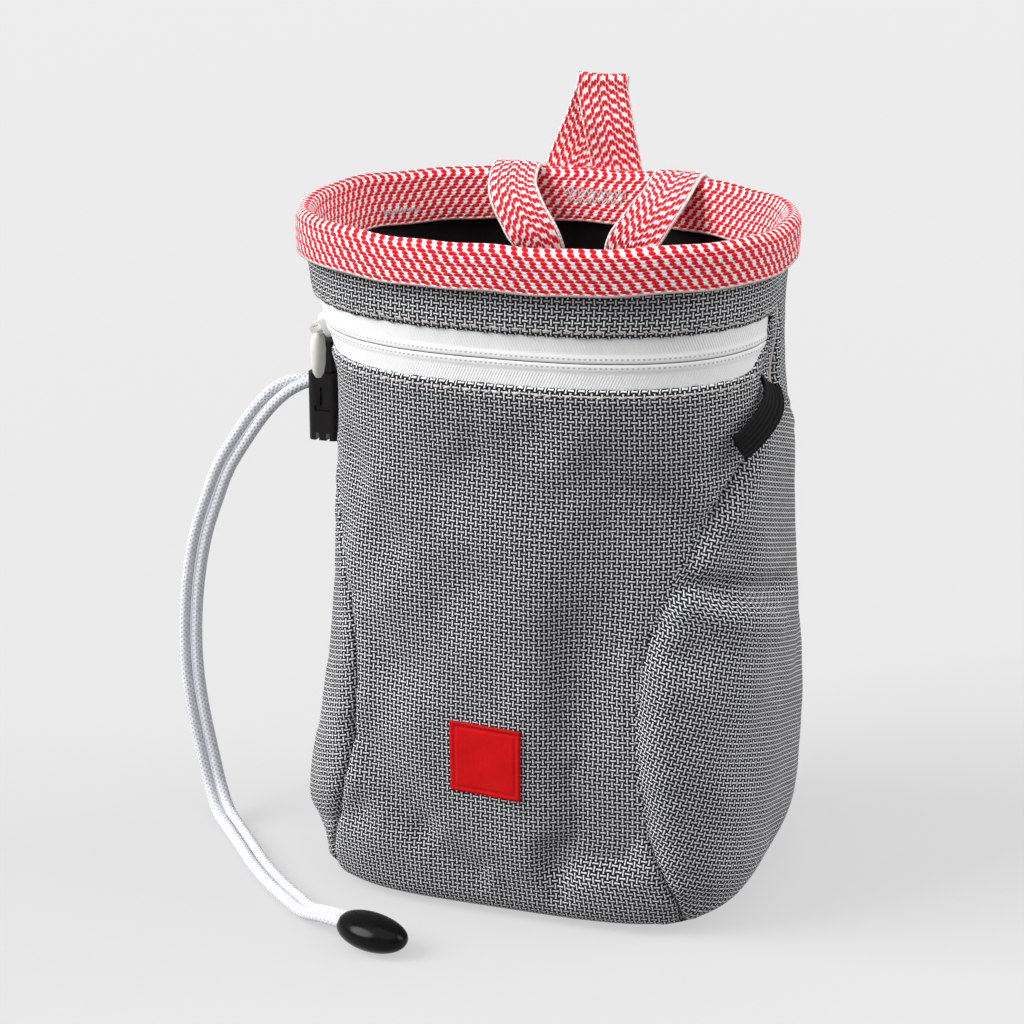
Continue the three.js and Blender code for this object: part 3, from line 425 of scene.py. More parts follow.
# Soft creases of the cloth, each along a line from one place to another: angle and height of both ends,
# how deep it goes in (or out, below 0) as a share of the crease depth, and how wide it is.
CREASE_DEPTH = 1.5
CREASES = [
    (-40, 70, -22, 100, 1.3, 6.5), (-30, 40, -6, 62, 0.7, 7.0), (-46, 92, -30, 116, -0.7, 5.0),
    (-52, 16, -60, 44, 1.3, 6.0), (-108, 20, -130, 48, 1.2, 6.5), (-72, 14, -50, 30, 1.1, 6.0),
    (-98, 124, -66, 108, 0.7, 7.0), (-140, 120, -116, 92, 1.0, 6.0), (-62, 124, -34, 96, 1.0, 7.0),
    (-118, 60, -92, 96, 0.8, 9.0), (-66, 84, -62, 14, 1.1, 8.5), (-150, 40, -166, 70, 0.8, 6.0),
    (-124, 26, -150, 12, 1.1, 4.5), (-134, 84, -124, 116, -0.6, 5.0), (-90, 10, -112, 22, 0.8, 5.0),
    (40, 30, 70, 60, 1.1, 8.0), (120, 110, 80, 80, 1.1, 8.0), (110, 30, 140, 56, 1.0, 7.0),
    (12, 50, 30, 90, 0.9, 7.0), (-42, 93, 3, 80, 2.3, 3.2), (-34, 84, -4, 73, -1.2, 4.5),
    (-60, 46, -54, 28, 1.4, 5.0), (-70, 24, -66, 6, 1.2, 4.0), (172, 70, 190, 96, 0.9, 6.0),
    (150, 96, 168, 60, 1.0, 6.0), (60, 120, 100, 128, 0.8, 6.0),
]


def creased(angle, height):
    """Offset of the soft creases: minus the crease depth times exp(-(distance / width)^2), fading over
    the last part of each line, and a faint crumple of long waves."""
    x, z = np.broadcast_arrays(angle, height)
    total = 0.13 * np.sin(x * 0.19 + z * 0.11) * np.sin(x * 0.07 - z * 0.16 + 1.3) \
        + 0.07 * np.sin(x * 0.43 - z * 0.21 + 0.6) * np.sin(x * 0.13 + z * 0.37)
    for a0, z0, a1, z1, depth, wide in CREASES:
        run = np.array([(a1 - a0), z1 - z0], float)
        reach = np.hypot(*run)
        dx, dz = (x - a0 + 540) % 360 - 180, z - z0
        share = (dx * run[0] + dz * run[1]) / reach ** 2
        away = (dx * run[1] - dz * run[0]) / reach
        ends = np.minimum(share, 1 - share) * 4 + 0.4
        total = total - CREASE_DEPTH * depth * np.exp(-(away / wide) ** 2) * soft_step(ends)
    return total


TURN_IN = 1.5
EDGE_STEPS = np.array([0, 0.06, 0.2, 0.42, 0.75, 1.15, 1.6])


def turned_in(distance):
    """Offset of a turned edge: a quarter circle, all its radius in at the seam and level from one radius
    on, with a low swell behind it where the seam's layers lie under the cloth."""
    short = 1 - np.clip(distance / TURN_IN, 0, 1)
    swell = 0.35 * np.exp(-((distance - 3.0) / 2.0) ** 2)
    return swell - TURN_IN * (1 - np.sqrt(1 - short * short))


def puckered(distance, along):
    """Offset of the small gathers beside a seam, which die out over 6 mm."""
    return 0.16 * np.exp(-distance / 6) * (np.sin(along * 0.83) + 0.6 * np.sin(along * 1.37 + 1.1))


def spaced(width, count):
    """Distances over a width, close together at both of its ends and even between them."""
    width = np.asarray(width, float)
    edge = EDGE_STEPS * np.minimum(1, width / 7)[..., None]
    even = edge[..., -1:] + (width[..., None] - 2 * edge[..., -1:]) * np.linspace(0, 1, count + 2)[1:-1]
    return np.concatenate([edge, even, width[..., None] - edge[..., ::-1]], -1)


def seam_angle(height, column):
    """Half width of a gusset in degrees at a height, in front (column 1) or behind (column 2)."""
    return read_rows(GUSSET, column, np.clip((height - SEAM_FOOT) / (SEAM_TIP - SEAM_FOOT), 0, 1)) \
        * (np.asarray(height) < SEAM_TIP)


def flat_places(points, angle, centre, height):
    """Flat places of rows of points: the length along each row from its centre angle, and the height."""
    steps = np.linalg.norm(np.diff(points, axis=1), axis=2)
    along = np.concatenate([np.zeros((len(points), 1)), np.cumsum(steps, axis=1)], 1)
    zero = np.array([np.interp(centre, a, s) for a, s in zip(angle, along)])
    return np.stack([along - zero[:, None], np.broadcast_to(height, along.shape)], -1)


ZIP_MIDDLE, ZIP_HALF = 145.2, 5.8
ZIP_TOP = ZIP_MIDDLE + ZIP_HALF
ZIP_LEFT, ZIP_RIGHT = -174.0, -7.0

# The front's right part sinks by up to SINK, and the cloth nowhere goes further in than DEEPEST.
SINK, DEEPEST = 4.6, 4.0


def sunken(angle, height):
    """How far the right part of the front sinks: in soft steps from its middle towards the seam, and up
    and down."""
    upright = soft_step((height - 8) / 32) * soft_step((134 - height) / 34)
    return SINK * soft_step((angle + 78) / 33) * upright


def zip_low(angle):
    """Height of the opening's lower edge: level, curving up near its right end, where it then stands
    upright."""
    corner = np.clip((angle - ZIP_RIGHT + 14) / 14, 0, 1)
    low = ZIP_MIDDLE - ZIP_HALF * (1 - 0.95 * corner ** 2)
    shut = np.clip((angle - ZIP_RIGHT) / 1.3, 0, 1) + np.clip((ZIP_LEFT - angle) / 2.5, 0, 1)
    return low + (ZIP_TOP - low) * np.clip(shut, 0, 1)


def wall_grid(low, high, left, right, across, zip_edge=0, columns=190):
    """One wall panel between two heights and two seams. across is the number of rows, and zip_edge is 1 where
    the top edge is the zip opening's and -1 where the bottom one is. The offset adds up the turned edges and
    gathers, which stop above the zip, the creases, and the way the front sinks towards its right seam."""
    rows = low + spaced(high - low, across)
    limits = np.stack([left(rows), right(rows)], -1)
    middle = cup_point(np.linspace(limits[:, 0], limits[:, 1], 60, axis=1), share_at(rows, -90)[:, None])
    width = np.linalg.norm(np.diff(middle, axis=1), axis=2).sum(1)
    away = spaced(width, columns)
    angle = limits[:, :1] + (limits[:, 1:] - limits[:, :1]) * away / width[:, None]
    height = np.broadcast_to(rows[:, None], angle.shape)
    seam = np.minimum(away, width[:, None] - away)
    sewn = np.clip((ZIP_TOP + 1.5 - height) / 1.5, 0, 1)
    groove = 1.2 * np.exp(-(seam / 1.1) ** 2) * np.clip((height - SEAM_TIP + 5) / 5, 0, 1)
    offset = (turned_in(seam) + puckered(seam, height) - groove) * sewn
    if zip_edge == 1:
        top = zip_low(angle)
        stretch = (top - SEAM_TIP) / (high - SEAM_TIP)
        height = np.where(height > SEAM_TIP, SEAM_TIP + (height - SEAM_TIP) * stretch, height)
        open_share = np.clip((ZIP_TOP - top) / 3, 0, 1)
        offset = offset + open_share * (turned_in(top - height) + puckered(top - height, angle * 1.07))
    if zip_edge == -1:
        open_share = np.clip((ZIP_TOP - zip_low(angle)) / 3, 0, 1)
        offset = offset + open_share * (turned_in(height - low) + puckered(height - low, angle * 1.07))
    lift = np.clip(height / CLOTH_HEIGHT, 0, 1)
    inner_part = np.clip((1 - lift) * 8, 0, 1) * np.clip(lift * 12, 0, 1)
    offset = offset + creased(angle, height) * inner_part
    offset = offset - sunken(angle, height) * (angle < 0)
    share = np.minimum(share_at(height, angle), 1)
    points = cup_point(angle, share) + cup_out(angle, share) * np.maximum(offset, -DEEPEST)[..., None]
    return points, angle, height


def base_grid(edge, left_angles, right_angles, rows=30):
    """Half of the base: a patch between four edges, blended from each pair less the blend of the corners,
    raised to the seam's foot by its distance from the base's outline. edge is the wall's lowest row."""
    c = np.concatenate([[0], np.cumsum(np.linalg.norm(np.diff(edge[:, :2], axis=0), axis=1))])
    c = (c / c[-1])[None, :, None]
    s = np.linspace(0, 1, rows)[:, None, None]
    left = cup_point(np.linspace(left_angles[0], left_angles[1], rows), share_at(SEAM_FOOT, 0))[:, :2]
    right = cup_point(np.linspace(right_angles[0], right_angles[1], rows), share_at(SEAM_FOOT, 0))[:, :2]
    front = edge[:, :2].copy()
    left[-1], right[-1] = front[0], front[-1]
    middle = left[0] + (right[0] - left[0]) * c[0]
    plan = (1 - s) * middle[None] + s * front[None] + (1 - c) * left[:, None] + c * right[:, None] \
        - (1 - s) * (1 - c) * left[0] - (1 - s) * c * right[0] - s * (1 - c) * front[0] - s * c * front[-1]
    turn = np.degrees(np.arctan2(plan[..., 1], plan[..., 0]))
    outline = np.linalg.norm(cup_point(turn, share_at(SEAM_FOOT, 0))[..., :2], axis=-1)
    inner = np.linalg.norm(cup_point(turn, 0.0)[..., :2], axis=-1)
    reach = np.clip((np.linalg.norm(plan, axis=-1) - inner) / np.maximum(outline - inner, 1e-6), 0, 1)
    return np.concatenate([plan, (SEAM_FOOT * reach ** 2)[..., None]], -1)


def basket_weave(name, turn=0.0):
    """Basket weave: a checkerboard of cells, a pale upright bar in the middle of every even cell and a
    lying one in every odd cell, each a little longer than its cell and wider at its ends. Black ground
    shows between them."""
    cloth = Finish(name, specular_ior_level=0.15)
    sockets = {"Vector": cloth.uv(), "Angle": math.radians(turn)}
    flat = cloth.node("ShaderNodeVectorRotate", {"rotation_type": "Z_AXIS"}, sockets)
    wobble = cloth.noise(flat, 0.55, 1.0)
    stray = cloth.noise(flat, 1.7, 1.0)
    across, up, _ = cloth.apart(flat)
    pitch = 1.235
    across = across / pitch + (wobble - 0.5) * 0.25
    up = up / pitch + (stray - 0.5) * 0.22
    column, row = across.whole(), up.whole()
    x, y = across.rest() - 0.5, up.rest() - 0.5
    odd = ((column + row) * 0.5).rest() * 2
    along = (y * (1 - odd) + x * odd).size()
    aside = (x * (1 - odd) + y * odd).size()

    def bar(length, breadth):
        half = length * length * 0.22 + 0.135
        edge = (half - breadth).rise(-0.04, 0.05)
        return edge * length.rise(0.62, 0.54)

    yarn = bar(along, aside).most(bar(1 - aside, along))
    crown = bar(along, aside) * (1 - aside * aside * 12)
    crown = crown + bar(1 - aside, along) * (1 - along * along * 12)
    patch = cloth.noise(flat, 0.045, 3.0)
    pale = cloth.blend(patch.rise(0.3, 0.7), tone(0.80, 0.81, 0.84), tone(0.92, 0.93, 0.95))
    speck = cloth.noise(flat, 5.0, 1.0)
    dark = cloth.blend(speck, tone(0.002, 0.002, 0.003), tone(0.014, 0.014, 0.018))
    cloth.colour(yarn, dark, pale)
    cloth.set("Roughness", 0.9 - yarn * 0.25)
    cloth.relief(crown, 0.3, 0.9)
    return cloth


def front_left(height):
    return -180 + seam_angle(height, 1)


def front_right(height):
    return -seam_angle(height, 1)


def rear_right(height):
    return seam_angle(height, 2)


def rear_left(height):
    return 180 - seam_angle(height, 2)


GUSSET_TURN = 17
cloth_finish = basket_weave("basket weave")
gusset_finish = {
    1: basket_weave("basket weave turned right", GUSSET_TURN),
    -1: basket_weave("basket weave turned left", -GUSSET_TURN),
}
ZIP_BOTTOM = ZIP_MIDDLE - ZIP_HALF

WALL_ROWS, BAND_ROWS = 130, 22
front, front_angle, front_height = wall_grid(SEAM_FOOT, ZIP_BOTTOM, front_left, front_right, WALL_ROWS, 1)
band, band_angle, band_height = wall_grid(ZIP_TOP, CLOTH_HEIGHT - 1, front_left, front_right, BAND_ROWS, -1)
rear, rear_angle, rear_height = wall_grid(SEAM_FOOT, CLOTH_HEIGHT, rear_right, rear_left, WALL_ROWS)
front_base = base_grid(front[0], (-180, -144), (0, -36))
rear_base = base_grid(rear[0], (0, 36), (180, 144))


def with_base(wall, base, angle, height, centre):
    """A wall with its half of the base under it, and the flat places of both."""
    points = np.concatenate([base[:-1], wall])
    steps = np.linalg.norm(np.diff(base[::-1], axis=0), axis=2)
    down = np.cumsum(steps, axis=0)[::-1]
    heights = np.concatenate([SEAM_FOOT - down, height])
    angles = np.concatenate([np.repeat(angle[:1], len(base) - 1, 0), angle])
    return points, flat_places(points, angles, centre, heights)


strip = make_piece("cloth_strip", [
    with_base(front, front_base, front_angle, front_height, -90),
    (band, flat_places(band, band_angle, -90, band_height)),
    with_base(rear, rear_base, rear_angle, rear_height, 90),
], cloth_finish, weld=2e-5)
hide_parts("main_panel")


def gusset_grid(side):
    """Teardrop panel between its two seams: side 1 is the right one, whose front edge sinks with the front, and -1
    the left one."""
    rows = SEAM_FOOT + spaced(SEAM_TIP - SEAM_FOOT, 120)
    rows[-1] = SEAM_TIP - 0.02
    fore, aft = seam_angle(rows, 1), seam_angle(rows, 2)
    start, end = (-fore, aft) if side > 0 else (180 - aft, 180 + fore)
    middle = cup_point(np.linspace(start, end, 40, axis=1), share_at(rows, 0)[:, None])
    width = np.linalg.norm(np.diff(middle, axis=1), axis=2).sum(1)
    away = spaced(width, 96)
    angle = start[:, None] + (end - start)[:, None] * away / np.maximum(width, 1e-6)[:, None]
    seam = np.minimum(away, width[:, None] - away)
    foot = (rows - SEAM_FOOT)[:, None]
    offset = turned_in(seam) + puckered(seam, rows[:, None] * 1.07 + 2) + turned_in(foot) * (seam > 0.2)
    lift = np.clip(rows[:, None] / 14, 0, 1)
    signed = (angle + 180) % 360 - 180
    offset = offset + creased(signed, rows[:, None]) * lift + 0.9 * (1 - np.exp(-seam / 3)) * lift
    if side > 0:
        offset = offset - sunken(-fore, rows)[:, None] * np.exp(-(away / 4.5) ** 2)
    height = np.broadcast_to(rows[:, None], angle.shape)
    points = on_cup(angle, height, np.maximum(offset, -DEEPEST))
    return points, flat_places(points, angle, 0 if side > 0 else 180, rows[:, None])


for side, node in ((1, "side_panel_right"), (-1, "side_panel_left")):
    name = node.replace("side_panel", "gusset")
    gusset = make_piece(name, [gusset_grid(side)], gusset_finish[side])
    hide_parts(node)

# The lining: smooth black cloth, sewn in at the rim. It hangs a little slack and gathers in a few upright
# folds.
LINING_SLACK = 2.8


def lining_offset(share):
    """How far inside the cloth's outer face the lining hangs."""
    slack = soft_step((0.9 - share) / 0.12) * np.minimum(1, share / 0.05)
    return -1.9 - LINING_SLACK * slack


def lining_grid():
    """Wall from the rim down to the base, then the base drawn together in the middle. Folds are waves
    around it that grow downwards from the rim, and it gives way where the front sinks."""
    angle = np.linspace(360, 0, 241)[None]
    share = np.concatenate([np.linspace(0.962, 0.02, 70), [0.012, 0.006, 0.003]])[:, None]
    grow = np.clip((0.93 - share) * 5, 0, 1) * np.clip(share * 12, 0, 1)
    turn = np.radians(angle)
    folds = 0.9 * np.sin(turn * 9 + 3 * share) * np.sin(turn * 2 + 1)
    folds = folds + 0.5 * np.sin(turn * 17 + 6 * share + 2)
    gather = 1.6 * np.exp(-((angle - 92) / 16) ** 2) * np.sin(turn * 46)
    offset = lining_offset(share) - 0.6 + (folds + gather - 0.9) * grow
    in_front = soft_step((350 - angle) / 30) * (angle > 180)
    offset = offset - sunken(angle - 360, share * CLOTH_HEIGHT) * in_front
    wall = cup_point(angle, share, []) + cup_out(angle, share, []) * offset[..., None]
    wall[..., 2] = np.maximum(wall[..., 2], 1.9)
    inwards = np.linspace(1, 0, 12)[1:, None, None]
    floor = wall[-1][None] * np.array([1, 1, 0]) * inwards + np.array([0, 0, 1.9])
    points = np.concatenate([wall, floor])
    flat = np.stack(np.broadcast_arrays(angle, np.arange(len(points))[:, None] * 2.0), -1)
    return points, flat


lining_finish, _ = grained("black lining cloth", 900.0, tone(0.002, 0.002, 0.002),
                           tone(0.007, 0.006, 0.007), 0.1, 0.5, 1.0, roughness=0.7, specular_ior_level=0.2)
lining = make_piece("black_lining", [lining_grid()], lining_finish, thickness=0.6)
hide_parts("lining")

# The webbing: red yarn over white in slanting rows. One wide band is folded over the rim, and narrower
# straps, whose rows turn back at the middle line, make the hang loop and the two belt loops.
RED, DEEP_RED, CREAM = tone(0.92, 0.005, 0.018), tone(0.70, 0.004, 0.014), tone(0.88, 0.83, 0.79)


def red_webbing(name, half_width, lean, selvage=0.52):
    """Rows 0.8 mm wide run along the webbing, counted from its middle line outwards. In each, red dashes
    2.6 mm apart float over the white, every row's moved lean mm on from the last, so that they make
    slanting lines that meet at the middle line. Rows go in threes, a long dash between two short ones.
    The selvages are plain cream."""
    tape = Finish(name, roughness=0.75, specular_ior_level=0.12)
    along, across, _ = tape.apart(tape.uv())
    sway = tape.noise(tape.uv(), 0.5, 1.0)
    side = across.size()
    rows = side / 0.8
    row = rows.whole()
    b = rows.rest() - 0.5
    third = ((row + 0.5) / 3).rest() * 3 - 1.5
    middle = 1 - third.size().rise(0.3, 0.7)
    fill = b * b * 3.0
    move = (row + third * 0.32) * lean
    phase = (along + (sway - 0.5) * 0.35 - move) / 2.6
    a = (phase.rest() - 0.5) * 2.6 - b * 0.55 * lean
    reach = a / (middle * 0.34 + 0.92)
    dash = (1 - reach * reach - fill).rise(0.0, 0.34)
    crown = 1 - b * b * 3.4
    edge = side.rise(half_width - selvage - 0.1, half_width - selvage + 0.1)
    shade = tape.noise(tape.uv(), 0.8, 2.0)
    red = tape.blend(shade.rise(0.35, 0.65), RED, DEEP_RED)
    # Painted shade: the white yarn turns darker and pinker from the crown of each row towards its edges, where the
    # rows meet.
    white = tape.blend(crown.rise(0.1, 0.6), tone(0.76, 0.59, 0.61), tone(0.94, 0.91, 0.92))
    cover = dash * (1 - edge)
    tape.colour(edge, tape.blend(cover, white, red), CREAM)
    rib = (along * (2 * math.pi / 0.7)).wave() * 0.5 + 0.5
    tape.relief(crown * 0.5 + cover * 0.5 + edge * rib * 0.4, 0.24, 0.9)
    return tape


RIM_OUT, RIM_IN, RIM_CROWN, RIM_LEAN = 1.35, -3.9, 1.3, 0.68


def rim_grid():
    """Band folded over the cloth's top edge: the profile of its back goes up the outside, over the top
    and down the inside, and that of its face returns 0.9 mm away from it. Its middle line lies just
    inside the fold."""
    back = [
        (RIM_OUT + 0.05, -8.6), (RIM_OUT + 0.1, -6), (RIM_OUT, -3), (RIM_OUT - 0.1, -1),
        (RIM_OUT - 0.4, 0.2), (RIM_OUT - 0.9, 1.0), (-0.2, RIM_CROWN), (-0.95, 0.95), (-1.5, 0.1),
        (-1.9, -1.2), (-2.7, -4.2), (RIM_IN + 0.3, -8), (RIM_IN, -11.2),
    ]
    path = smooth_path([(x, 0, z) for x, z in back], 0.55)[:, [0, 2]]
    way = unit(np.gradient(path, axis=0))
    face = path + np.column_stack([way[:, 1], -way[:, 0]]) * 0.9
    length = np.concatenate([[0], np.cumsum(np.linalg.norm(np.diff(path, axis=0), axis=1))])
    profile = np.concatenate([path, face[::-1], path[:1]])
    half = length[-1] / 2
    across = np.concatenate([length, length[::-1], length[:1]]) - half
    angle = np.linspace(0, 360, 401)
    wave = 0.22 * np.sin(np.radians(angle * 7)) + 0.16 * np.sin(np.radians(angle * 16 + 40))
    top = cup_point(angle, 1.0, [])
    out = cup_out(angle, 1.0, [])
    out[:, 2] = 0
    out = unit(out)
    slope = (cup_point(angle, 1.0, []) - cup_point(angle, 0.95, [])) / (0.05 * CLOTH_HEIGHT)
    drop = np.minimum(profile[:, 1], 0)
    points = top[:, None] + out[:, None] * (profile[None, :, :1] + wave[:, None, None] * 0.5)
    points = points + slope[:, None] * np.array([1, 1, 0]) * drop[None, :, None]
    points[..., 2] = top[:, None, 2] + profile[None, :, 1] + wave[:, None]
    along = np.concatenate([[0], np.cumsum(np.linalg.norm(np.diff(top, axis=0), axis=1))])
    flat = np.stack(np.broadcast_arrays(along[:, None], across[None]), -1)
    return points, flat, half


rim_points, rim_flat, rim_half = rim_grid()
rim_finish = red_webbing("rim webbing", rim_half, RIM_LEAN)
rim = make_piece("rim_webbing", [(rim_points, rim_flat)], rim_finish)
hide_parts("rim_binding")

STRAP_WIDTH, HANG_WIDTH, STRAP_THICKNESS, STRAP_LEAN = 13.0, 13.8, 1.0, 0.9


def strap_section(width, thickness):
    """Flat profile with round edges, and its flat places across, seen from either face."""
    half = thickness / 2
    x = np.linspace(-1, 1, 21) * (width / 2 - half)
    turn = np.linspace(math.pi / 2, -math.pi / 2, 7)[1:-1]
    right = np.column_stack([width / 2 - half + half * np.cos(turn), half * np.sin(turn)])
    top, bottom = np.column_stack([x, x * 0 + half]), np.column_stack([x[::-1], x * 0 - half])
    section = np.concatenate([top, right, bottom, -right, top[:1]])
    return section, np.clip(section[:, 0], -width / 2, width / 2)


def strap_grid(points, leans, width=STRAP_WIDTH, thickness=STRAP_THICKNESS, cup=0.25):
    """Strap along a smooth path. leans are the directions that its width keeps nearest to, and cup is how
    far its edges curl."""
    table = smooth_path(points, 0.7, np.asarray(leans, float))
    line, lean = table[:, :3], table[:, 3:]
    tangent = unit(np.gradient(line, axis=0))
    across = unit(lean - tangent * (lean * tangent).sum(1, keepdims=True))
    section, flat = strap_section(width, thickness)
    section = section + np.column_stack([section[:, 0] * 0, cup * (2 * section[:, 0] / width) ** 2])
    return carried(line, across, np.cross(across, tangent), section[::-1], flat[::-1])


def rear_place(x, height, offset, dents):
    """Depth and level direction of the rear wall at a distance across it, found by turning the angle
    until it fits."""
    angle = 90.0
    for _ in range(12):
        at = on_cup(angle, height, offset, dents)
        angle += math.degrees((at[0] - x) / HALF_DEPTH)
    out = cup_out(angle, share_at(height, angle), dents)
    return at[1], unit(np.cross(out, [0, 0, 1]))


def belt_loop_grid(side):
    """Sewn on the outer rear wall, standing off it, over the rim and down the inner rear wall towards the
    middle."""
    outer_x, inner_x = 0.4 + side * 23.0, 1.4 + side * 10.5
    rim_top = CLOTH_HEIGHT + REAR_RISE / 2 + RIM_CROWN
    low = rim_top - 38
    rim_y = rear_place(outer_x, CLOTH_HEIGHT, -2.0, [])[0]
    level = np.array([1.0, 0, 0])

    def outer(height):
        return rear_place(outer_x, height, 1.1, DENTS)

    def inner(height):
        return rear_place(inner_x, height, float(lining_offset(share_at(height, 90))) - 2.1, [])

    rows = [
        (0, outer(low)[0], low, outer(low)[1]),
        (0, outer(low + 6)[0], low + 6, outer(low + 6)[1]),
        (0, outer(low + 13)[0] + 7.18, low + 13, outer(low + 13)[1]),
        (0, outer(low + 24)[0] + 9.2, low + 25, outer(low + 24)[1]),
        (0.02, rim_y + RIM_OUT + 7.18, rim_top - 3.2, level), (0.06, rim_y + 1.6, rim_top + 1.6, level),
        (0.2, rim_y - 8.06, rim_top - 3.2, level), (0.54, rim_y - 12.35, rim_top - 10, level),
        (0.9, rim_y - 13, rim_top - 18, inner(low)[1]),
        (1, inner(low - 2)[0] - 2.2, low - 2, inner(low - 2)[1]),
        (1, inner(low - 10)[0], low - 10, inner(low - 10)[1]),
    ]
    points = [(outer_x + (inner_x - outer_x) * share, y, z) for share, y, z, _ in rows]
    return strap_grid(points, [row[3] for row in rows])


for side, node, way in ((-1, "belt_loop_left", "downwards"), (1, "belt_loop_right", "upwards")):
    finish = red_webbing("strap webbing " + way, STRAP_WIDTH / 2, -side * STRAP_LEAN)
    loop = make_piece(node.replace("loop", "webbing"), [belt_loop_grid(side)], finish)
    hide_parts(node)


def hang_loop_grid():
    """Both tails are sewn on the outer rear wall over the rim band, and the strap folds over sharply at
    its top."""
    near_x, far_x, top_x, seat = 4.6, -10.8, -0.8, 1.8
    rim_top = CLOTH_HEIGHT + REAR_RISE / 2 + RIM_CROWN
    top, low = rim_top + 25 - 0.5, rim_top - 20

    def wall(x, height):
        return rear_place(x, height, seat, [])[0]

    fold_y = wall(0, CLOTH_HEIGHT) + 3.7
    points = [
        (near_x, wall(near_x, low), low), (near_x, wall(near_x, low + 10), low + 10),
        (near_x, wall(near_x, rim_top - 2), rim_top - 1),
        ((near_x + top_x) / 2, wall(near_x, rim_top - 2) + 0.5, rim_top + 11.2),
        (top_x + 0.3, fold_y - 1.1, top - 4), (top_x, fold_y - 0.75, top - 0.9), (top_x - 0.1, fold_y, top),
        (top_x - 0.2, fold_y + 0.75, top - 0.9), (top_x - 0.9, fold_y + 1.3, top - 4),
        ((far_x + top_x) / 2, wall(0, rim_top - 2) + 6.8, rim_top + 10.5),
        (far_x, wall(far_x, rim_top - 2) + 6.1, rim_top - 2), (far_x, wall(far_x, low + 8) + 0.8, low + 8),
        (far_x, wall(far_x, low), low),
    ]
    return strap_grid(points, [(1, 0, 0)] * len(points), HANG_WIDTH, cup=0.1)


hang_finish = red_webbing("hang webbing", HANG_WIDTH / 2, -STRAP_LEAN, 0.2)
hang = make_piece("hang_webbing", [hang_loop_grid()], hang_finish)
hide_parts("hang_loop")

# The zip pocket: white woven tape on both sides of a hidden coil, which shows as a low ridge with a thin
# line between two rows of tiny stitches. The slider and its rubber pull are at the left end.
def zip_white():
    """White tape, ribbed across near the cloth. v is the height above the middle line."""
    tape = Finish("white zip tape", roughness=0.6, specular_ior_level=0.3)
    along, up, _ = tape.apart(tape.uv())
    away = up.size()
    rib = ((along + away * 0.45) * (2 * math.pi / 0.72)).wave() * 0.5 + 0.5
    ribbed = away.rise(1.9, 2.9)
    dots = ((along / 1.25).rest() - 0.5).size().rise(0.26, 0.16)
    dots = dots * (away - 1.05).size().rise(0.26, 0.12)
    line = away.rise(0.16, 0.04)
    fine = tape.noise(tape.uv(), 4.0, 2.0)
    base = tape.blend(fine, tone(0.80, 0.81, 0.82), tone(0.91, 0.91, 0.90))
    # The rows of tiny stitches show as darker dots, sunk a little in the relief.
    dotted = tape.blend(dots * 0.6, base, tone(0.30, 0.29, 0.25))
    tape.colour(line, dotted, tone(0.10, 0.10, 0.09))
    tape.relief(rib * ribbed * 0.5 + fine * 0.3 - dots * 0.6, 0.16, 0.8)
    return tape


zip_finish = zip_white()


def zip_grid(side):
    """Half of the tape: from the middle line to under the cloth's edge, with the ridge of the coil beside
    the line."""
    angle = np.linspace(ZIP_LEFT - 1, ZIP_RIGHT + 1, 200)[None]
    away = np.array([0.02, 0.06, 0.14, 0.3, 0.6, 1.0, 1.4, 1.8, 2.2, 2.7, 3.3, 4.0, 4.8, 5.6, 6.6])[:, None]
    ridge = 0.3 * np.clip(1 - ((away - 0.9) / 1.35) ** 2, 0, 1) - 0.3 * np.exp(-(away / 0.12) ** 2)
    bow = 0.12 * np.sin(np.radians(angle) * 21) + 0.08 * np.sin(np.radians(angle) * 47 + 1)
    points = on_cup(angle, ZIP_MIDDLE + side * away, -0.75 + ridge + 0.25 * bow)
    flat = flat_places(points, np.repeat(angle, len(away), 0), -90, side * away)
    return (points[::-1], flat[::-1]) if side < 0 else (points, flat)


for side, node in ((-1, "zip_tape_lower"), (1, "zip_tape_upper")):
    name = node.replace("zip_tape", "white_tape")
    tape = make_piece(name, [zip_grid(side)], zip_finish, thickness=0.7)
    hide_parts(node)


def softened(node, name, finish, width, body="root"):
    """A moulded copy of a CAD solid: welded, with every sharp edge rounded by a width in millimetres."""
    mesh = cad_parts[node].data.copy()
    mesh.name = name
    weld_mesh(mesh, 1e-6)
    mesh.materials.clear()
    mesh.materials.append(finish.material)
    mesh.polygons.foreach_set("use_smooth", np.ones(len(mesh.polygons), dtype=bool))
    piece = bpy.data.objects.new(name, mesh)
    bpy.context.scene.collection.objects.link(piece)
    edge = piece.modifiers.new("rounding", "BEVEL")
    edge.width = width / 1000
    edge.segments = 3
    edge.limit_method = "ANGLE"
    edge.angle_limit = math.radians(32)
    edge.harden_normals = True
    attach(piece, body)
    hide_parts(node)
    return piece


enamel, _ = grained("white enamel", 420.0, tone(0.66, 0.66, 0.64), tone(0.80, 0.80, 0.78), 0.03, 0.4,
                    roughness=0.32, coat_weight=0.3)
softened("zip_slider", "enamel_slider", enamel, 0.25)
rubber, _ = grained("cream rubber", 700.0, tone(0.66, 0.63, 0.57), tone(0.80, 0.77, 0.71), 0.05, 0.5,
                    roughness=0.5)
softened("zip_pull", "rubber_pull", rubber, 0.18, "zip_pull")


# Cream topstitching runs along both edges of the opening, 1.9 mm from them, one stitch every 2.5 mm.
STITCH_INSET, STITCH_PITCH, STITCH_LENGTH, STITCH_RADIUS = 1.9, 2.5, 2.2, 0.3


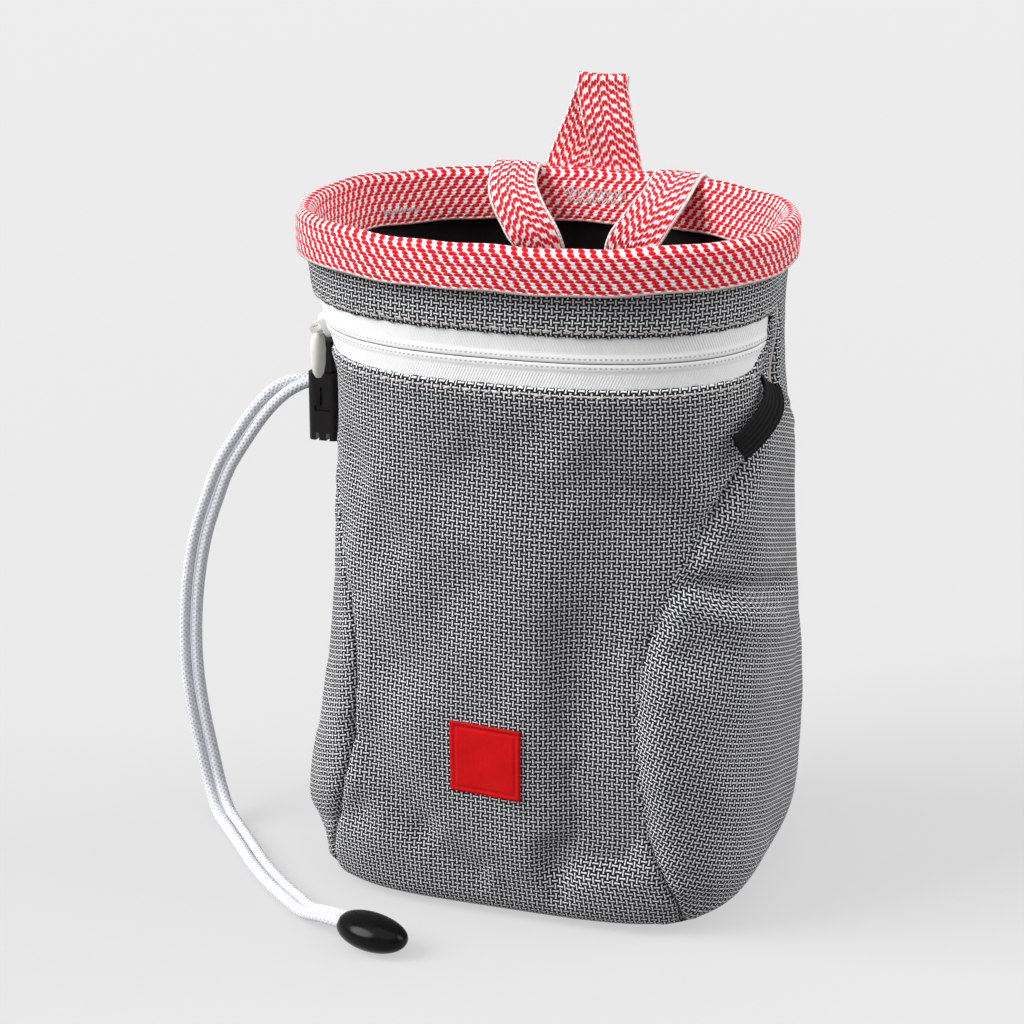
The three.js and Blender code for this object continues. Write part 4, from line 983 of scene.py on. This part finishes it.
def stitch_grids(centres, ways, outs, length, radius):
    """Stitches as slim drops: each is a centre plus way, out and their cross product times the parts of
    one egg."""
    u, v = np.meshgrid(np.linspace(0, math.pi, 8), np.linspace(0, 2 * math.pi, 9), indexing="ij")
    girth = np.sin(u) ** 0.6 * radius
    shape = np.stack([-np.cos(u) * length / 2, girth * np.cos(v), girth * np.sin(v)], -1)
    sides = np.cross(outs, ways)
    skins = centres[:, None, None] + shape[None, ..., :1] * ways[:, None, None] \
        + shape[None, ..., 1:2] * sides[:, None, None] + shape[None, ..., 2:] * outs[:, None, None]
    flat = np.stack([u * length, v * radius], -1)
    return [(skin, flat) for skin in skins]


def seam_stitches(height_at, from_angle, to_angle, pitch, lean, offset, seed):
    """Stitches along a line on the cloth, height_at(angle) high, each leaning a little from the line."""
    angle = np.linspace(from_angle, to_angle, 900)
    line = on_cup(angle, height_at(angle), offset + creased(angle, height_at(angle)))
    run = np.concatenate([[0], np.cumsum(np.linalg.norm(np.diff(line, axis=0), axis=1))])
    at = np.arange(pitch / 2, run[-1], pitch)
    centres = np.column_stack([np.interp(at, run, line[:, k]) for k in range(3)])
    turn = np.interp(at, run, angle)
    outs = cup_out(turn, share_at(height_at(turn), turn))
    ways = unit(np.gradient(centres, axis=0))
    chance = np.random.default_rng(seed)
    tilt = np.radians(lean + chance.normal(0, 6, len(at)))[:, None]
    ways = unit(ways * np.cos(tilt) + np.cross(outs, ways) * np.sin(tilt))
    return centres + np.cross(outs, ways) * chance.normal(0, 0.08, len(at))[:, None], ways, outs


def twisted_thread(name, twist, dark, light):
    """Thread of a few plies, which show as slanting waves, with painted shade in the grooves between them."""
    thread = Finish(name, roughness=0.7)
    along, around, _ = thread.apart(thread.uv())
    ply = ((along * twist + around * 5.0) * 2.0).wave() * 0.5 + 0.5
    thread.colour(ply, dark, light)
    thread.relief(ply, 0.08, 0.7)
    return thread


cream_thread = twisted_thread("cream thread", 3.2, tone(0.42, 0.38, 0.33), tone(0.72, 0.68, 0.62))


def under_zip(angle):
    return zip_low(angle) - STITCH_INSET


def over_zip(angle):
    return ZIP_TOP + STITCH_INSET + 0 * angle


topstitches = []
for line_height, last_angle, lean, seed in ((under_zip, -11, 9, 3), (over_zip, -1, -9, 4)):
    places = seam_stitches(line_height, -172, last_angle, STITCH_PITCH, lean, 0.12, seed)
    topstitches += stitch_grids(*places, STITCH_LENGTH, STITCH_RADIUS)
make_piece("zip_topstitch", topstitches, cream_thread, weld=0)

# A cream tape edge shows in the side seam, right of the zip.
edge_height = np.linspace(134, 152.5, 24)
edge_line = on_cup(-2.6 - 0.02 * (152 - edge_height), edge_height, 0.1)
edge_way = unit(np.gradient(edge_line, axis=0))
edge_out = cup_out(-2.6, share_at(edge_height, -2.6))
edge_turn = np.linspace(0, 2 * math.pi, 13)
edge_ring = np.column_stack([np.cos(edge_turn) * 0.55, np.sin(edge_turn) * 0.45])
make_piece("seam_tape", [carried(edge_line, np.cross(edge_out, edge_way), edge_out, edge_ring, edge_turn)],
           cream_thread)


# White bar tacks hold the straps on the inner face of the rim band: a close zigzag of strong thread.
def tack(middle_angle, across, height, drop, offset):
    """Zigzag on the inner rim: stitches of one length side by side, every other one leaning the other
    way."""
    count = int(across / 0.62)
    reach = np.linspace(-across / 2, across / 2, count)
    angle = middle_angle + np.degrees(reach / np.linalg.norm(cup_point(middle_angle, 1.0, [])[:2]))
    chance = np.random.default_rng(int(across * 7))
    high = height + chance.normal(0, 0.12, count)
    centres = on_cup(angle, high, offset, [])
    outs = -cup_out(angle, share_at(high, angle), [])
    level = unit(np.gradient(centres, axis=0))
    sign = np.where(np.arange(count) % 2, 1.0, -1.0)[:, None]
    ways = unit(level * 0.55 * sign + np.cross(outs, level))
    return stitch_grids(centres, ways, outs, drop, 0.2)


white_thread = twisted_thread("white thread", 3.0, tone(0.55, 0.50, 0.50), tone(0.90, 0.87, 0.86))
REAR, REAR_LEFT = 90, 152
tacks = []
for turn, across, height, drop, offset in (
        (REAR, 17, 168.4, 2.6, -3.65), (REAR, 15, 166.4, 1.8, -4.1), (REAR_LEFT, 12, 164, 1.6, -4.5)):
    tacks += tack(turn, across, height, drop, offset)
make_piece("bar_tacks", tacks, white_thread, weld=0)

# The label: a small red woven square, its edges folded under and sewn down on the front. It is bare.
LABEL_WIDTH, LABEL_HEIGHT, LABEL_X, LABEL_Z, LABEL_TILT = 18.0, 18.6, 0.9, 44.2, -2.5


def label_grid():
    """Square on the front wall: places across and up turned by the tilt, raised 1 mm and drawn down at
    its edges."""
    u, v = np.meshgrid(np.linspace(-1, 1, 61), np.linspace(-1, 1, 61))
    x, z = u * LABEL_WIDTH / 2, v * LABEL_HEIGHT / 2
    angle = -90 + np.degrees(np.arctan((LABEL_X + x) / HALF_DEPTH))
    height = LABEL_Z + z + math.tan(math.radians(LABEL_TILT)) * x
    edge = np.minimum(LABEL_WIDTH / 2 - np.abs(x), LABEL_HEIGHT / 2 - np.abs(z))
    puff = 0.35 * np.clip(edge / 0.5, 0, 1) ** 0.5 - 0.22 * np.exp(-((edge - 1.3) / 0.35) ** 2)
    offset = 0.55 + puff + creased(angle, height) - sunken(angle, height)
    return on_cup(angle, height, offset), np.stack([x, z], -1)


def red_label():
    """Dense red satin: fine slanting threads with painted shade in the grooves between them, painted shade towards
    its folded edges, and a darker sewn line of small stitches along its top.
    """
    label = Finish("red woven label", roughness=0.7, specular_ior_level=0.1)
    x, z, _ = label.apart(label.uv())
    twill = ((x * 0.6 + z) * (2 * math.pi / 0.42)).wave() * 0.5 + 0.5
    edge = (LABEL_WIDTH / 2 - x.size()).least(LABEL_HEIGHT / 2 - z.size())
    seam = (LABEL_HEIGHT / 2 - z - 0.95).size().rise(0.5, 0.15)
    stitch = ((x + z) / 1.1).rest().rise(0.3, 0.5)
    rim_shade = edge.rise(0.7, 0.0)
    cloud = label.noise(label.uv(), 0.5, 2.0)
    red = label.blend(cloud, tone(0.74, 0.003, 0.006), tone(0.93, 0.007, 0.012))
    # Painted shade: the twill grooves are darker red than the threads' crests.
    dark = label.blend(twill, tone(0.50, 0.002, 0.004), red)
    sewn = label.blend(seam * stitch * 0.7, dark, tone(0.26, 0.002, 0.003))
    label.colour(rim_shade * 0.5, sewn, tone(0.30, 0.003, 0.005))
    label.relief(twill * 0.5 + cloud * 0.4 - seam * 0.5, 0.14, 0.8)
    return label


label_piece = make_piece("red_label", [label_grid()], red_label(), thickness=0.5)
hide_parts("label")

# The brush loop: a strip of ribbed black elastic, sewn across the top of the right gusset.
BRUSH_WIDTH = 6.8
share = np.linspace(0, 1, 9)
brush_angle, brush_height = -7.6 - 17.2 * share, 134.6 - 11.2 * share
brush_line = on_cup(brush_angle, brush_height, 1.5 + 1.7 * np.sin(np.pi * share) ** 0.8)
brush_lean = np.array([0.62, 0.50, -0.62])
elastic = Finish("ribbed elastic", roughness=0.8, specular_ior_level=0.15)
elastic_along, elastic_across, _ = elastic.apart(elastic.uv())
ribs = (elastic_across * (2 * math.pi / 1.1)).wave() * 0.5 + 0.5
picks = ((elastic_along / 0.45).rest() - 0.5).size().rise(0.5, 0.2)
# Painted shade: the black is darker still in the grooves between the ribs and picks than on their crests.
elastic.colour(ribs * picks, tone(0.001, 0.001, 0.001), tone(0.016, 0.015, 0.016))
elastic.relief(ribs * 0.7 + picks * 0.3, 0.3, 0.9)
brush_grid = strap_grid(brush_line, [brush_lean] * len(brush_line), BRUSH_WIDTH, 1.2, -0.9)
brush = make_piece("elastic_loop", [brush_grid], elastic)
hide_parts("brush_loop")

# The cord lock: a flat moulded barrel with a toothed foot, and the button that its spring pushes up.
lock_plastic, lock_grain = grained("moulded lock plastic", 900.0, tone(0.003, 0.0025, 0.0025),
                                   tone(0.008, 0.006, 0.006), 0.03, 0.5, specular_ior_level=0.2)
lock_plastic.set("Roughness", lock_grain * 0.2 + 0.28)
softened("cord_lock_barrel", "lock_barrel", lock_plastic, 0.35)
softened("cord_lock_button", "lock_button", lock_plastic, 0.35, "lock_button")

# The floor is one plain pale sheet that glows a little and throws no light back on the bag. The strongest
# light is at the left, a weaker one at the right and a faint one above, all of them soft.
floor_mesh = bpy.data.meshes.new("floor")
FLOOR_REACH, FLOOR_LEVEL = 3, -0.0004
floor_signs = ((-1, -1), (1, -1), (1, 1), (-1, 1))
floor_corners = [(x * FLOOR_REACH, y * FLOOR_REACH, FLOOR_LEVEL) for x, y in floor_signs]
floor_mesh.from_pydata(floor_corners, [], [(0, 1, 2, 3)])
floor = bpy.data.objects.new("floor", floor_mesh)
bpy.context.scene.collection.objects.link(floor)
paper = Finish("pale paper", roughness=0.95)
paper.set("Base Color", tone(0.16, 0.16, 0.16))
paper.set("Emission Color", tone(1, 1, 1))
paper.set("Emission Strength", 0.53)
floor_mesh.materials.append(paper.material)
floor.visible_diffuse = False


def soft_sun(name, turn, height, strength, spread):
    """Even light from a direction: turn from above and height above the floor, both in degrees."""
    lamp = bpy.data.lights.new(name, "SUN")
    lamp.energy = strength
    lamp.angle = math.radians(spread)
    light = bpy.data.objects.new(name, lamp)
    light.rotation_euler = (math.radians(90 - height), 0, math.radians(turn + 90))
    bpy.context.scene.collection.objects.link(light)


soft_sun("left light", -150, 38, 3.9, 40)
soft_sun("right light", 20, 30, 1.6, 40)
soft_sun("top light", -60, 78, 0.8, 60)
world = bpy.data.worlds.new("studio")
world.use_nodes = True
world.node_tree.nodes["Background"].inputs["Color"].default_value = tone(1, 1, 1)
world.node_tree.nodes["Background"].inputs["Strength"].default_value = 0.38
bpy.context.scene.world = world
bpy.context.scene.view_settings.view_transform = "Standard"
